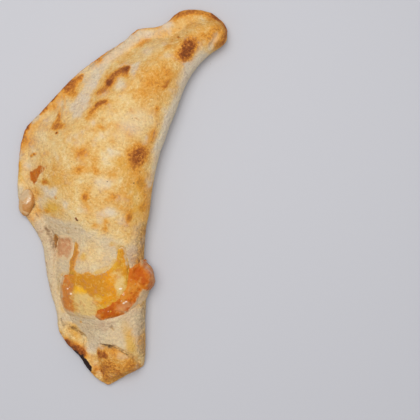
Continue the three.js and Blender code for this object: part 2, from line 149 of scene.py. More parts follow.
# Where the crust browned more or, with a negative amount, less than around it.
TOAST_MARKS = [
    # Broad areas
    Spot(43, 3, 12, 13, 0.26),
    Spot(43.4, 0, 6, 3.4, 0.12),
    Spot(38, 14, 10, 10, 0.08),
    Spot(42.6, 15, 5, 6, -0.08),
    Spot(27, -3, 16, 12, 0.23),
    Spot(31, 4, 8, 9, 0.06),
    Spot(25, -12, 8, 6, 0.08),
    Spot(23.6, -17, 6, 5, 0.06),
    Spot(26, 2, 6, 6, 0.05),
    Spot(28.6, -7, 2.4, 2, 0.08),
    Spot(-2, -10, 16, 11, 0.07),
    Spot(-17, 3, 7, 10, 0.1),
    Spot(23.5, 1, 10, 9, 0.08),
    Spot(20.5, -15, 10, 8, 0.1),
    Spot(18, 20, 12, 9, 0.06),
    Spot(7, 15, 14, 14, 0.1),
    Spot(3, 59, 14, 8, 0.16),
    Spot(-1.6, 27, 7, 8, 0.1),
    Spot(6, -14, 8, 6, 0.1),
    Spot(-2, -22, 9, 7, 0.12),
    Spot(-6.4, -13, 7, 5, 0.14),
    Spot(-6, 2, 6, 5, 0.1),
    Spot(-2, 50, 6, 5, 0.08),
    Spot(6, 1, 6, 6, -0.12),
    Spot(2.4, 28, 5, 8, -0.1),
    Spot(18, -17, 9, 8, -0.1),
    Spot(-2.6, 18, 5, 6, 0.1),
    Spot(4, -30, 18, 9, 0.14),
    Spot(-5, -28, 14, 9, 0.1),
    Spot(7, -14, 8, 6, 0.08),
    Spot(17, -9, 9, 9, -0.1),
    Spot(7.4, -5, 5, 6, -0.14),
    Spot(-5.7, -17, 5, 6, -0.12),
    Spot(-4.6, 32, 5, 7, -0.1),
    Spot(-8, 8, 10, 14, -0.08),
    Spot(-15, 0, 18, 26, -0.1),
    Spot(-33, -8, 10, 20, -0.1),
    Spot(-32.2, 17, 6, 4, 0.12),
    Spot(6, 61, 9, 5, 0.08),
    Spot(-1, 33, 8, 7, 0.1),
    Spot(42, 20, 6, 7, 0.08),
    Spot(34, 20, 7, 8, 0.06),
    Spot(10, 57, 6, 4, 0.08),
    # Darker by the fold's corner near the flap: partly browning, partly painted shade where the edge turns
    # down.
    Spot(-37, -26, 9, 8, 0.22),
    Spot(-10, -30, 6, 6, 0.1),
    Spot(34, 25, 5, 5, 0.13),
    Spot(22, 42, 5, 4, 0.12),
    Spot(34, 2, 5, 4, 0.08),
    Spot(26, 2, 5, 4, 0.06),
    Spot(-26, -40, 9, 5, 0.12),
    Spot(-6, -14, 8, 6, 0.05),
    Spot(22, 42, 6, 3, 0.08),
    Spot(26, -14, 6, 5, 0.08),
    # The two dark round spots
    Stroke([(37.1, 1.2), (36, -0.4), (34.9, -2.8)], 6.2, 0.52),
    Stroke([(36.9, 1.4), (35.6, -0.6)], 3.2, 0.14),
    Spot(36, 0.4, 8, 7.4, 0.18),
    Spot(9.5, -23.6, 10, 8, 0.44, 2),
    Spot(9.6, -22.6, 5, 4, 0.06),
    Spot(9.4, -23.4, 14, 12, 0.1),
    # Brown and orange spots
    Spot(36.3, 12, 0.8, 1.3, 0.5),
    Spot(38.2, 10.7, 0.7, 1, 0.3),
    Spot(33, 11.5, 3.4, 3.4, 0.18),
    Spot(31.1, 9.5, 4, 2, 0.14),
    Spot(27.5, -10, 5, 1.8, 0.2),
    Spot(26.6, -11, 2, 2, 0.14),
    Spot(21.4, -16.4, 2.8, 2.4, 0.3),
    Spot(20, -17.5, 4.6, 4, 0.1),
    Spot(22, 2, 2.4, 2, 0.14),
    Spot(20.5, 1, 2.4, 2, 0.12),
    Spot(17.3, -2.2, 3, 1.6, 0.16),
    Spot(17.5, -4, 1.6, 2.6, 0.12),
    Spot(17.3, 4.5, 2.4, 1.4, 0.12),
    Spot(16.8, -9.3, 0.6, 1.8, 0.25),
    Spot(15.6, -25.2, 4.4, 3.6, 0.26),
    Spot(16.8, -24, 3, 2.4, 0.1),
    Spot(13, -10, 3.4, 3.4, 0.14),
    Spot(13.2, -1.5, 1.8, 2.4, 0.14),
    Spot(12.6, 5, 3, 2, 0.18),
    Spot(11.4, 9.4, 2.2, 3, 0.28),
    Spot(9.8, -3.6, 1.4, 2.4, 0.14),
    Spot(5, 13.4, 4.4, 4.8, 0.3),
    Spot(4.6, 14.8, 2, 1.8, 0.08),
    Spot(1.5, 12.4, 4, 4.4, 0.42),
    Spot(2.4, 0.6, 2.4, 3.6, 0.22),
    Spot(-3.6, 3.4, 3.4, 3, 0.46),
    Spot(-5.8, 2, 3.4, 3.4, 0.12),
    Spot(6.6, 40.2, 1.1, 1.1, 0.8),
    Spot(2.6, 42.4, 2.8, 3.4, 0.16),
    Spot(-5.4, 42, 3.8, 3.4, 0.2),
    Spot(4.3, -31, 5, 3, 0.2),
    Spot(2.8, -33.5, 5.4, 3.6, 0.26),
    Spot(-1.8, -30.4, 3.6, 1.6, 0.14),
    Spot(-2.8, -39, 4.6, 2.8, 0.26),
    Spot(-2, -19, 3, 3.6, 0.16),
    Spot(-2.7, 37, 2.2, 3.6, 0.25),
    Spot(-6.1, -31, 3.8, 3.2, 0.44),
    Spot(-8, -30, 2.6, 2.6, 0.24),
    Spot(-8, -15.8, 3.6, 2, 0.26),
    Spot(-9.7, -15.8, 2.4, 2, 0.28),
    Spot(-9.6, -7.4, 2.6, 2.8, 0.28),
    Spot(-10, -37, 6, 3.4, 0.1),
    Spot(-7.7, 31.6, 1.7, 3, 0.5),
    Spot(-13.7, -21.5, 1.8, 3.8, 0.24),
    Spot(-17.1, 1, 3.8, 4, 0.16),
    Spot(-30.8, 10, 1.5, 1.8, 0.34),
    Spot(-33.6, -12.4, 2.4, 2, 0.4),
    Spot(-32.8, -24, 5, 3.4, 0.14),
    Spot(14.8, 29.4, 2.8, 2, 0.14),
    Spot(-1.2, 62.6, 3, 2, 0.2),
    Spot(-20.2, -2.6, 3, 3.4, 0.16),
    Spot(-17, -35.4, 5, 3, 0.18),
    Spot(-17.8, -41, 3, 3, 0.2),
    # Streaks and toasted ridges
    Stroke([(24, 21.6), (22.8, 23.4), (21.4, 24.2), (20.2, 24.6)], 3.6, 0.48),
    Stroke([(24.6, 22), (22.6, 27), (20.6, 28.4)], 5.4, 0.12),
    Stroke([(24.4, 20), (23.6, 18.4), (22.8, 17.8)], 1.9, 0.26),
    Stroke([(19.4, 24), (18.4, 24), (17.2, 25.4)], 3.6, 0.4),
    Stroke([(20.8, 29), (20.6, 30.2)], 1.4, 0.14),
    Stroke([(16.2, 17.4), (15.7, 19.6), (15, 21.6)], 2.5, 0.5),
    Stroke([(14, 22.6), (13, 22.6), (11.8, 22.4)], 2.8, 0.36),
    Stroke([(12.4, 56.4), (11.6, 57)], 1.6, 0.3),
    Stroke([(10, 58), (8.6, 60)], 1.5, 0.36),
    Stroke([(6, 64.6), (5.4, 65)], 1.6, 0.36),
    Stroke([(31.8, 26.4), (30, 28.4), (28.6, 29.4)], 2.4, 0.2),
    Stroke([(45, 14), (46, 6), (46.2, 0), (45.6, -5)], 1.7, 0.22),
    Stroke([(46.2, 4), (46.2, -2), (45.4, -6), (43.8, -9)], 1.3, 0.16),
    Stroke([(44.6, 13), (45.2, 6), (45.4, -2)], 4, 0.1),
    Stroke([(45, -5.4), (43.8, -8.2), (42, -9)], 1.8, 0.26),
    Stroke([(45.8, 9), (44.6, 14.4), (43, 18.6), (41.4, 23.4), (39, 27.4)], 2.2, 0.24),
    Stroke([(43, 19), (41.6, 22.6), (40, 25), (38.4, 27.6)], 3.6, 0.14),
    Stroke([(-29.6, 27), (-32, 26), (-34, 22)], 4, -0.12),
    # Darker along the fold's edge towards the flap end: partly browning, partly painted shade.
    Stroke([(2, -41), (-4, -43), (-12, -43), (-19, -41)], 6, 0.18),
    Stroke([(27.4, 39.4), (26.4, 40)], 1.2, 0.3),
    Stroke([(12.6, 52.6), (10.6, 54)], 3, 0.22),
    Stroke([(13.2, 50), (12.2, 47), (11.2, 44.4)], 1, 0.2),
    Stroke([(12, 51), (10.6, 47.6), (9.6, 46)], 0.9, 0.16),
    Stroke([(-8.8, 50), (-9.3, 46), (-9.8, 43)], 1.6, 0.14),
    Stroke([(-4.8, 26.4), (-5.1, 24.6)], 1, 0.4),
    Stroke([(-11.6, 31), (-13.6, 27.8), (-15.4, 26.4)], 1.8, 0.12),
    Stroke([(-12.8, 23.6), (-14.6, 22), (-16, 21.6)], 2.4, 0.4),
    Stroke([(-34.2, 24.6), (-35.2, 21.6), (-36, 18.6), (-37, 16)], 3.8, 0.74, 1.6),
    Stroke([(-31.8, 27.8), (-33.8, 25.4)], 2.2, 0.3),
    Stroke([(-41, 17), (-42, 14)], 2, 0.24),
    Stroke([(-20.4, 17), (-20.2, 9), (-20.6, -2), (-20.6, -13)], 2.2, 0.22),
    Stroke([*DRIP, DRIP_END], 3, 0.44),
    Stroke([(-9.6, 46), (-10.4, 41)], 3, 0.08),
    Stroke([(1.3, 54.4), (1.9, 51.4)], 1.1, 0.4),
    Stroke([(-0.5, 62.5), (-2.4, 60), (-3.6, 56.5)], 2, 0.16),
    # The toasted corner of the seam and the patch below it
    Patch(
        [
            (18.6, 47.6), (18.4, 45), (15.6, 45), (14.6, 41.4), (13.8, 45), (13.4, 53), (15, 54),
            (17, 51.4),
        ],
        2.6, 0.36,
    ),
    Spot(15, 48.6, 3, 3.4, 0.08),
    Spot(17.4, 48.4, 5, 3, 0.1),
    Patch([(9.9, 45.8), (8.2, 47), (7, 46.4), (7.2, 41), (8, 36), (8.8, 38), (8.8, 43)], 2, 0.46),
    # The flap and the skin beside it
    Patch(FLAP, 0.9, 0.2),
    Patch([(-37.6, 4.6), (-38.4, 6), (-39.2, 4.4), (-39.7, -0.6), (-39, -3), (-38, -1)], 0.9, 0.36),
    Patch([(-40, 5), (-42, 8.6), (-45.4, 9), (-45.4, -6), (-42.4, -8), (-40.6, -4)], 1.8, 0.15),
    Spot(-41.4, 2, 2.4, 3, 0.12),
    Spot(-42, -6, 5, 5, 0.05),
    Spot(-43.4, 5.6, 3, 3.4, 0.12),
    Spot(-44.6, -3, 2.6, 5, 0.12),
    Spot(-43.8, -15, 6, 4.4, 0.18),
    Spot(-39.6, -11, 6, 5, -0.02),
    Spot(-41.4, 12, 5, 3.4, 0.08),
    Stroke([(-41.2, 11), (-42, 7.6)], 1.4, 0.2),
    Spot(-37, 8.4, 4, 3.6, -0.2),
    Spot(-44.2, 12, 2.4, 3, 0.2),
]

# Floury and untoasted skin, and painted light along the waist's fold.
FLOUR_AND_LIGHT_MARKS = [
    Spot(36.2, 26.6, 5, 5, 0.9),
    Spot(33.4, 27, 6, 5, 0.4),
    # Paler along the knob's crease.
    Stroke([(43.4, -2.4), (42, -5), (40.6, -7.6)], 2, 0.5),
    Spot(42.4, 14.6, 1.5, 2.6, 0.5),
    Spot(29.4, 20.6, 5, 5, 0.45),
    Spot(25.2, 16.8, 4.6, 4, 0.65),
    Spot(20.7, 15.4, 4.8, 5.2, 0.75),
    Spot(11.3, 17, 3, 2.8, 0.6),
    Spot(17, -11, 12, 12, 0.4),
    Spot(11, -6, 10, 10, 0.2),
    Spot(14, 4, 10, 10, 0.15),
    Spot(31.4, 17, 10, 5, 0.3),
    Stroke([(38, -7), (34, -9), (30, -14)], 4, 0.35),
    Stroke([(26, -21), (20, -26)], 4, 0.15),
    Spot(34, -13, 6, 5, 0.3),
    Spot(14, -9, 5, 9, 0.3),
    Spot(10, 34, 5, 4, 0.3),
    Spot(7.2, -5, 4.4, 5, 0.5),
    Spot(-5.7, -17, 4, 5.6, 0.9),
    Spot(-4.4, 32, 4.4, 6, 0.8),
    Spot(0.2, -6, 6, 6, 0.6),
    Spot(-0.4, 22, 3, 4, 0.25),
    Spot(-5.7, 17, 4, 5, 0.5),
    Spot(-0.6, 54.6, 4, 5, 0.7),
    Spot(-18, 20, 6, 7, 0.3),
    Spot(-36.6, 7.4, 6, 5, 0.7),
    Spot(-37, -22, 6, 6, 0.15),
    Stroke([(32, 31), (30, 34.6), (27, 35.8), (24, 38), (20, 40)], 4.4, 0.75),
    Patch(
        [(20.6, 41), (20, 34), (17, 32), (13, 28), (10.8, 29), (10.6, 34), (12.6, 41), (17, 41.6)],
        2.4, 0.75,
    ),
    Stroke([(12.8, 44), (11.6, 38)], 2.4, 0.3),
    Spot(-6, 37, 4, 4, 0.4),
    # Painted light: lighter along the waist's fold, whose slope faces away from the lamp.
    Stroke(WAIST_FOLD, 4.6, 0.7),
    Spot(18, 34, 4, 4, 0.4),
    Spot(14, 26.4, 3, 3, 0.3),
    Spot(-42, 10, 4, 3, 0.4),
    Spot(5, -38, 9, 3, 0.35),
]

# Damp, pinkish skin round the waist and the tear, and along the seam.
DAMP_MARKS = [
    Patch(
        [
            (-8.4, 36), (-9.2, 20), (-9, 8), (-11, -2), (-11.6, -14), (-12.6, -26), (-14, -38),
            (-22, -36), (-30, -30), (-31, -4), (-29, 44), (-14, 44),
        ],
        5, 0.8,
    ),
    Patch([(-29, 21), (-31, 15), (-33.6, 10.4), (-36, 12), (-37.6, 12.4), (-36.8, 3), (-36, -2)], 1.6, 0.5),
    Patch(
        [(-29, 22), (-31, 14), (-35, 8), (-36.6, 2), (-38, -10), (-42, -20), (-42, -26), (-30, -42)], 4, 0.8
    ),
    Stroke([(31, 36), (24, 41), (18, 42)], 5, 0.6),
    Stroke([(18, 46), (16, 54)], 4, 0.4),
    Stroke([(12, 48), (8, 51), (3, 54), (-3, 52)], 8, 0.35),
    Stroke([(14, 38), (8, 36), (3, 40)], 6, 0.2),
    Stroke([(-9.4, 41), (-11.4, 37)], 4, 0.5),
    Spot(-16, 27, 16, 4, 0.3),
    Spot(-16, -7, 12, 11, -0.4),
    Spot(34, 27, 5, 6, 0.4),
    Stroke([(44, 18), (42, 23.6), (40, 27), (38, 29)], 2, 0.3),
    Stroke([(23, 44), (20, 47), (18, 50)], 2, 0.5),
    Stroke([(11, 59), (6, 65), (2, 66), (-1, 64)], 3, 0.9),
    Spot(-12, -18, 9, 6, 0.35),
    Stroke([(-9, -38), (-14, -38)], 4, 0.5),
    Spot(-5.4, 57, 5, 4, 1.2),
    Spot(-40, 10.4, 5, 3, 0.4),
    Spot(-30.6, 25, 5, 4, 0.4),
]

# Skin that the filling soaked, which is pinker still.
SODDEN_MARKS = [
    Spot(-10.6, 12, 5, 12, 0.1),
    Spot(-32, 19, 8, 5, 0.2),
    Stroke([(-12, 26), (-15, 25), (-18, 26)], 4, 0.35),
    Spot(-16, -36, 8, 5, 0.8),
    Stroke([(-12, 34), (-18, 32), (-24, 30)], 4, 0.3),
    Spot(-18, 0, 8, 14, 0.2),
    Spot(-31.6, -4, 5, 13, 0.3),
    Spot(-33, -8, 6, 12, 0.4),
    Spot(-31, -28, 5, 8, 0.5),
    Stroke([(15, 34), (12, 36), (10, 38)], 5, 0.25),
    Stroke([(30, 39), (25, 42), (21, 45)], 3.4, 0.4),
    Stroke([(8, 52), (4, 56), (1, 60)], 5, 0.3),
    Stroke([(-9, 48), (-10.4, 43), (-12, 38)], 3, 0.5),
]

# Stains of sauce that soaked through.
STAINS = [
    Patch(
        [(-1.5, 51.6), (-0.5, 47), (-0.2, 44.6), (-1.4, 43.6), (-3, 44.4), (-3.4, 46.6), (-2.6, 49.8)],
        1.1, 0.8,
    ),
    Patch([(-0.2, 47), (0.4, 38.6), (-0.7, 39.4), (-1.8, 44)], 1.2, 0.66),
    Stroke([(-1.5, 50.8), (-2.4, 48.4), (-2.8, 46.4)], 1, 0.4),
    Stroke([(-3.1, 46.2), (-3.6, 45.8)], 0.9, 0.6),
    Spot(-2.7, 36.8, 2.4, 4, 0.78),
    Spot(-2.1, 39, 1, 1, 0.5),
    Spot(-7.7, 32, 1.3, 2.2, 0.3),
    Spot(1.1, 49.4, 0.6, 1, 0.3),
    Stroke([*DRIP, DRIP_END], 2.7, 0.24),
    Spot(-17.2, -36, 4, 3.4, 0.2),
    Spot(-18.2, -41, 2.6, 3.4, 0.25),
]

# Yellow oil under the skin.
YELLOW_MARKS = [
    Spot(-7, 28.6, 4.4, 8.6, 0.9),
    Spot(-2.7, 37, 2.4, 4, 1),
    Spot(-36, -24, 7, 5, 0.2),
    Spot(-40.4, -12.6, 5, 5, 0.3),
    # Warms the painted light along the waist's fold.
    Stroke(WAIST_FOLD, 4.6, 0.36),
    Stroke([(-0.5, 62), (-2.4, 59.4), (-3.3, 56)], 2.8, 0.5),
    Spot(-32.4, 17, 7, 4, 0.55),
    Spot(-39.4, -21.4, 9, 4.4, 0.9),
    Spot(-3, -36, 12, 6, 0.3),
    Spot(27, -5, 14, 10, 0.08),
    Spot(43, 1, 9, 9, 0.25),
    Spot(2, -26, 14, 9, 0.25),
    Spot(-2, 26, 9, 18, 0.36),
    Stroke([(-14.2, -27.8), (-16.6, -28.4), (-19, -27.4)], 3.4, 0.9),
    Stroke([(-17.4, -23), (-19.2, -18.6), (-19.9, -10)], 2, 0.6),
    Spot(-16.6, 0.6, 3.6, 3.2, 0.8),
    Stroke([(-13.8, 6.6), (-16.4, 8.4), (-18.4, 10), (-20.4, 8.4)], 2, 0.4),
    Stroke([(-20.2, 17), (-20, 9), (-20.4, -2), (-20.6, -13)], 2, 0.45),
    Stroke([(-20.6, 20.4), (-24, 23), (-27.6, 22.6)], 2, 0.3),
    Spot(-13.4, -21.4, 2.4, 3.4, 0.6),
    Spot(-27.4, 22.6, 4, 2, 0.3),
    Spot(6, -15, 8, 8, 0.35),
    Spot(3.4, -34, 12, 5, 0.3),
    Spot(-5, -33, 10, 6, 0.25),
    Spot(-34, -22, 8, 4, 0.35),
    Spot(-30.6, 9.6, 3, 3, 0.4),
]

# Greyish brown smudges, and painted shade in creases, in the slit under the flap's edge and along the
# fold's lower edge.
SMUDGES_AND_CREASE_SHADE = [
    # Painted shade in the crease beside the ham.
    Stroke([(-12.6, 23.6), (-14.6, 22), (-16, 21.6)], 2.2, 0.6),
    Stroke([(-11.2, 31), (-12.8, 28), (-14.8, 26)], 3, 0.42),
    Stroke([(-11, 33), (-12.4, 31)], 1.4, 0.2),
    # Painted shade along the fold's edge towards the flap end.
    Stroke([(-8, -42), (-13, -42), (-18.6, -42)], 4.4, 0.5),
    Spot(-17.6, -36, 3.4, 3.4, 0.2),
    Stroke([(-9.2, 48), (-9.8, 44), (-10.4, 40)], 2.6, 0.24),
    Spot(43.8, 19, 5, 3, 0.12),
    Spot(17.4, 48.4, 5, 3, 0.2),
    Stroke([(25.6, 41.2), (23, 43.6), (20.4, 45.8), (18.8, 47)], 0.8, 0.4),
    Stroke([(27, 41), (24, 45), (20.6, 48.4), (17, 52.6)], 0.8, 0.4),
    Stroke([(11, 58), (6, 64), (2, 65.6)], 3, 0.14),
    Spot(-33, 20, 7, 4, 0.36),
    Spot(-34, 11, 5, 4, 0.15),
    Stroke(DRIP, 2, 0.12),
    # Painted shade where the fold's edge turns down beside the flap.
    Stroke([(-26, -44), (-29, -42), (-33, -37), (-38, -31), (-43, -26)], 4.4, 0.5),
    Stroke([(19.6, 38.4), (18.8, 37)], 1.6, 0.3),
    Stroke([(14.4, 37.6), (13.4, 37)], 1.1, 0.25),
    Stroke([(-10.2, 3), (-10.7, 4.8), (-12.2, 5.6)], 0.8, 0.25),
    Stroke([(-2.8, -4.2), (-3, -6.8)], 0.8, 0.25),
    Stroke([(-32.6, 8), (-33.4, -2), (-32.8, -8)], 0.9, 0.15),
    Stroke([(-44.7, 11), (-44.9, 5)], 1, 0.35),
    # Painted shadow in the slit under the flap's front edge.
    Stroke([(-36.5, -0.6), (-36.9, -3.6), (-37.5, -6.6)], 1.1, 0.9),
    Stroke([(-8, 43.4), (-8.8, 40.6), (-9.1, 38.6)], 0.8, 0.35),
    Spot(-33.2, -12.2, 2, 1.5, 0.7),
    Spot(-34, -13.6, 1.4, 1.2, 0.6),
    # Painted shadow along the rest of the flap's front edge.
    Stroke([(-37.5, -7.4), (-39, -13), (-41, -18)], 0.8, 0.65),
    Stroke([(-35.6, 11.6), (-37.4, 13.4)], 0.8, 0.3),
    Stroke([(-31.3, 18), (-32.4, 14.8), (-33.9, 11.2)], 0.9, 0.6),
    Stroke([(-29, 24.8), (-30.4, 23.4)], 1.1, 0.6),
    Stroke([(-30.6, 20.6), (-31.8, 17.8)], 0.9, 0.3),
    Stroke([(-15.5, -32.4), (-19.5, -33.4)], 1.2, 0.25),
]

# Black and dark brown burn on the crimped edge beside the flap, and a painted shadow in the slit under the
# flap's front edge.
CHAR_AND_SLIT_SHADOW_MARKS = [
    Stroke([(-34.8, 25.6), (-35.8, 23.4), (-36.6, 21.8)], 1.6, 0.8),
    Stroke([(-36.6, 21.4), (-37.6, 19.4), (-38.6, 18)], 2.2, 1),
    Spot(-37.6, 16.8, 1.8, 2, 0.5),
    Patch([(-38.2, 21), (-38.4, 16.6), (-39.2, 14.2), (-40.2, 13.4), (-41, 15), (-41.2, 21)], 1.4, 1.3),
    Stroke([(-41, 17.2), (-42.2, 15.4)], 1, 0.4),
    # Painted shadow in the slit under the flap's front edge.
    Stroke([(-36.7, -2), (-37.1, -4.2), (-37.5, -5.8)], 0.8, 0.6),
    Stroke([(12.4, 56.6), (11.4, 57.2)], 1.2, 0.6),
]

# Furrows in the skin, in millimetres of depth, and ridges with a negative depth.
FURROWS = [
    Stroke([(44.2, -2), (42.6, -4.8), (41, -7.2)], 1.3, 0.9),
    Stroke([(43.8, -4), (42.2, -6.6)], 1.4, -0.5),
    Stroke([(13.2, 50), (11.4, 45), (9.6, 41)], 1.2, -0.6),
    Stroke([(9.9, 46.4), (8.4, 46.4), (6.8, 46)], 1, -0.5),
    Stroke([(12.2, 50), (9.6, 44.4)], 1.1, 0.4),
    Stroke([(25.6, 41.4), (23, 44), (20.4, 46.2), (18.6, 47.8)], 1, 1.1),
    Stroke([(1.2, 54.6), (1.9, 51.2)], 0.9, -0.4),
    Stroke([(-2.6, 57.6), (-3.8, 52.6), (-5.2, 47.8), (-6.6, 45.4), (-8.4, 42.4), (-9, 38.8)], 0.9, 0.9),
    Stroke([(-3, 54.4), (-4.6, 47.4), (-6.2, 43.2), (-8, 42)], 1.6, -0.7),
    Stroke([(-11, 31), (-12.4, 26.4), (-14.6, 23.8), (-16.7, 22.4)], 2, 0.5),
    Stroke([(-10, 36), (-13, 29.4), (-17, 26), (-20, 25)], 2.4, -0.9),
    Stroke([(-10.2, 3), (-10.7, 4.8), (-12.2, 5.6)], 0.8, 0.3),
    Stroke([(-29.2, 24.4), (-30.3, 22.8), (-31.2, 23.6)], 1, 1.2),
    Stroke([(-30.6, 21.6), (-31.4, 20.2), (-33, 17.4)], 1.1, 1.3),
    Stroke([(-31.3, 18.4), (-32, 15.4), (-33.2, 12.6), (-34.2, 11), (-35.4, 12), (-36.8, 13.6)], 0.9, 1.5),
    Stroke([(-36.5, 0.4), (-37.2, -6), (-38.1, -11), (-39.9, -16), (-42, -19.4), (-44, -21.4)], 0.8, 2.4),
    Stroke([(-36.7, 3), (-38, 6.6), (-40, 8.4)], 0.8, 0.6),
    Stroke([(-42.2, 13), (-42.8, 9)], 0.9, 0.8),
    Stroke([(-17, 27), (-20, 26), (-24, 24.6)], 2.4, -0.7),
]

# Where the skin is crumbly.
CRUMBLY_AREAS = [
    Spot(-42, -2, 12, 15, 1),
    Spot(43, 4, 10, 12, 0.4),
    Spot(36, -0.6, 9, 9, 1),
    Spot(9.4, -23.5, 9, 8, 0.7),
]


# ---- Numbers on the surface ---------------------------------------------------------------------------


class Skin:
    """Points on the part with their places along and across the bend."""

    def __init__(self, points):
        self.points = points
        offset = points[:, :2] - BEND_CENTRE
        self.turn = np.arctan2(offset[:, 1], -offset[:, 0])
        self.radius = np.hypot(offset[:, 0], offset[:, 1])
        self.angle = np.degrees(self.turn)
        self.reach = (self.radius - BEND_RADIUS) / MM
        self.height = points[:, 2] / MM

    def distance(self, places, closed=False):
        """Millimetres from each point to a line through places, as seen from above."""
        ends = np.array([place(*at) for at in places]) / MM
        if closed:
            ends = np.vstack([ends, ends[:1]])
        here = self.points[:, :2] / MM
        nearest = np.full(len(here), np.inf)
        for start, end in zip(ends, ends[1:]):
            step = end - start
            share = np.clip((here - start) @ step / (step @ step), 0, 1)
            gap = here - start - share[:, None] * step
            nearest = np.minimum(nearest, np.hypot(*gap.T))
        return nearest

    def depth_inside(self, places):
        """Millimetres from each point to a closed outline, positive inside it."""
        corners = np.array([place(*at) for at in places]) / MM
        x, y = self.points[:, :2].T / MM
        inside = np.zeros(len(x), bool)
        for (x0, y0), (x1, y1) in zip(corners, np.roll(corners, -1, axis=0)):
            crosses = (y0 > y) != (y1 > y)
            inside ^= crosses & (x < x0 + (y - y0) * (x1 - x0) / (y1 - y0 or 1))
        return np.where(inside, 1, -1) * self.distance(places, closed=True)

    def sum_of(self, marks):
        """The marks' amounts added up."""
        return sum(mark.amount * mark.on(self) for mark in marks)

    def shifted(self, size, distance, seed):
        """The same skin with its points moved about sideways, so that marks get uneven outlines."""
        moved = self.points.copy()
        for axis in (0, 1):
            moved[:, axis] += distance * MM * layered_noise(self.points, size * MM, seed + axis)
        return Skin(moved)


def place(angle, reach):
    """X and Y of an angle in degrees and a reach in millimetres."""
    radius = BEND_RADIUS + reach * MM
    turn = np.radians(angle)
    return BEND_CENTRE + radius * np.array([-np.cos(turn), np.sin(turn)])


def smooth_noise(points, size, seed):
    """Noise from -1 to 1 with features of about a size."""
    cells = 48
    values = np.random.default_rng(seed).uniform(-1, 1, (cells, cells, cells))
    scaled = points / size
    corner = np.floor(scaled).astype(int)
    share = scaled - corner
    share = share * share * (3 - 2 * share)
    total = np.zeros(len(points))
    for step in np.ndindex(2, 2, 2):
        weight = np.prod(np.where(step, share, 1 - share), axis=1)
        total += weight * values[tuple(((corner + step) % cells).T)]
    return total


def layered_noise(points, size, seed, layers=3):
    """Noise with ever finer and fainter layers, from about -1 to 1."""
    total = np.zeros(len(points))
    for layer in range(layers):
        total += smooth_noise(points, size / 2**layer, seed + 17 * layer) / 2**layer
    return total / 1.4


def smooth_step(low, high, values):
    """0 up to low, 1 from high on, and smooth between."""
    share = np.clip((values - low) / (high - low), 0, 1)
    return share * share * (3 - 2 * share)


def band(distances, middle, width):
    """1 at one distance and fading to both sides, with a half width."""
    return np.exp(-(((distances - middle) / width) ** 2))


# ---- Meshes -------------------------------------------------------------------------------------------


def points_of(mesh):
    """The vertices as rows of three numbers."""
    flat = np.empty(len(mesh.vertices) * 3)
    mesh.vertices.foreach_get("co", flat)
    return flat.reshape(-1, 3)


def normals_of(mesh):
    """The vertices' normals as rows of three numbers."""
    flat = np.empty(len(mesh.vertices) * 3, np.float32)
    mesh.vertex_normals.foreach_get("vector", flat)
    return flat.reshape(-1, 3).astype(float)


def push_out(mesh, distances):
    """Moves each vertex along its normal by a distance."""
    points = points_of(mesh) + distances[:, None] * normals_of(mesh)
    mesh.vertices.foreach_set("co", points.ravel())
    mesh.update()


def paint(mesh, **fields):
    """Stores a number from 0 to 1 on each vertex under each name, for the materials."""
    for name, values in fields.items():
        attribute = mesh.attributes.new(name, "FLOAT", "POINT")
        attribute.data.foreach_set("value", np.clip(values, 0, 1).astype(np.float32))


def new_object(name, mesh):
    """An object in the scene with smooth shading."""
    mesh.shade_smooth()
    piece = bpy.data.objects.new(name, mesh)
    bpy.context.scene.collection.objects.link(piece)
    return piece


def evaluated(piece, name):
    """The mesh that an object's modifiers make. The object and its own mesh are removed."""
    graph = bpy.context.evaluated_depsgraph_get()
    mesh = bpy.data.meshes.new_from_object(piece.evaluated_get(graph))
    bpy.data.meshes.remove(piece.data)
    mesh.name = name
    mesh.materials.clear()
    return mesh


def welded(node, grow=0.0):
    """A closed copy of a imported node's mesh, grown outwards by a distance."""
    source = new_object(node + "_source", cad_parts[node].data.copy())
    weld = source.modifiers.new("weld", "WELD")
    weld.merge_threshold = WELD_GAP
    if grow:
        swell = source.modifiers.new("swell", "DISPLACE")
        swell.strength = grow
        swell.mid_level = 0
    return evaluated(source, node + "_grown")


def remeshed(name, meshes, voxel, rounds):
    """One fine, even, smoothed skin round closed meshes that may overlap."""
    shell = bmesh.new()
    for mesh in meshes:
        shell.from_mesh(mesh)
    joined = bpy.data.meshes.new(name)
    shell.to_mesh(joined)
    shell.free()
    source = new_object(name + "_source", joined)
    remesh = source.modifiers.new("even", "REMESH")
    remesh.mode = "VOXEL"
    remesh.voxel_size = voxel
    smooth = source.modifiers.new("smooth", "SMOOTH")
    smooth.factor = 0.5
    smooth.iterations = rounds
    return evaluated(source, name)


def tree_of(mesh):
    """A search tree over the faces of a mesh."""
    points = [vertex.co.copy() for vertex in mesh.vertices]
    faces = [tuple(face.vertices) for face in mesh.polygons]
    return BVHTree.FromPolygons(points, faces)


def top_over(tree, places):
    """Height of the uppermost face over or under each X and Y, or 0 where there is none."""
    down = Vector((0, 0, -1))
    above = [tree.ray_cast(Vector((x, y, OVERHEAD)), down)[0] for x, y in places]
    return np.array([hit.z if hit else 0 for hit in above])


def skin_height(places):
    """Height of the dough's skin at each X and Y, carried on over the tear."""
    solids = {name: tree_of(node.data) for name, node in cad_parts.items()}
    over_filling = [top_over(solids[name], places) + TEAR_SINK for name in ("cheese", "tomato", "ham")]
    return np.max([top_over(solids["dough"], places), *over_filling], axis=0)


def softened(grid, rounds):
    """A grid with each value drawn towards its neighbours'."""
    for _ in range(rounds):
        edged = np.pad(grid, 1, mode="edge")
        sides = edged[2:, 1:-1] + edged[:-2, 1:-1] + edged[1:-1, 2:] + edged[1:-1, :-2]
        grid = 0.5 * grid + 0.125 * sides
    return grid


def filled_gaps(grid):
    """A grid with each value raised to the third highest of the nine around it, which closes gaps."""
    edged = np.pad(grid, 1, mode="edge")
    rows, columns = grid.shape
    shifts = [edged[row : row + rows, column : column + columns] for row, column in np.ndindex(3, 3)]
    return np.maximum(grid, np.sort(shifts, axis=0)[-3])


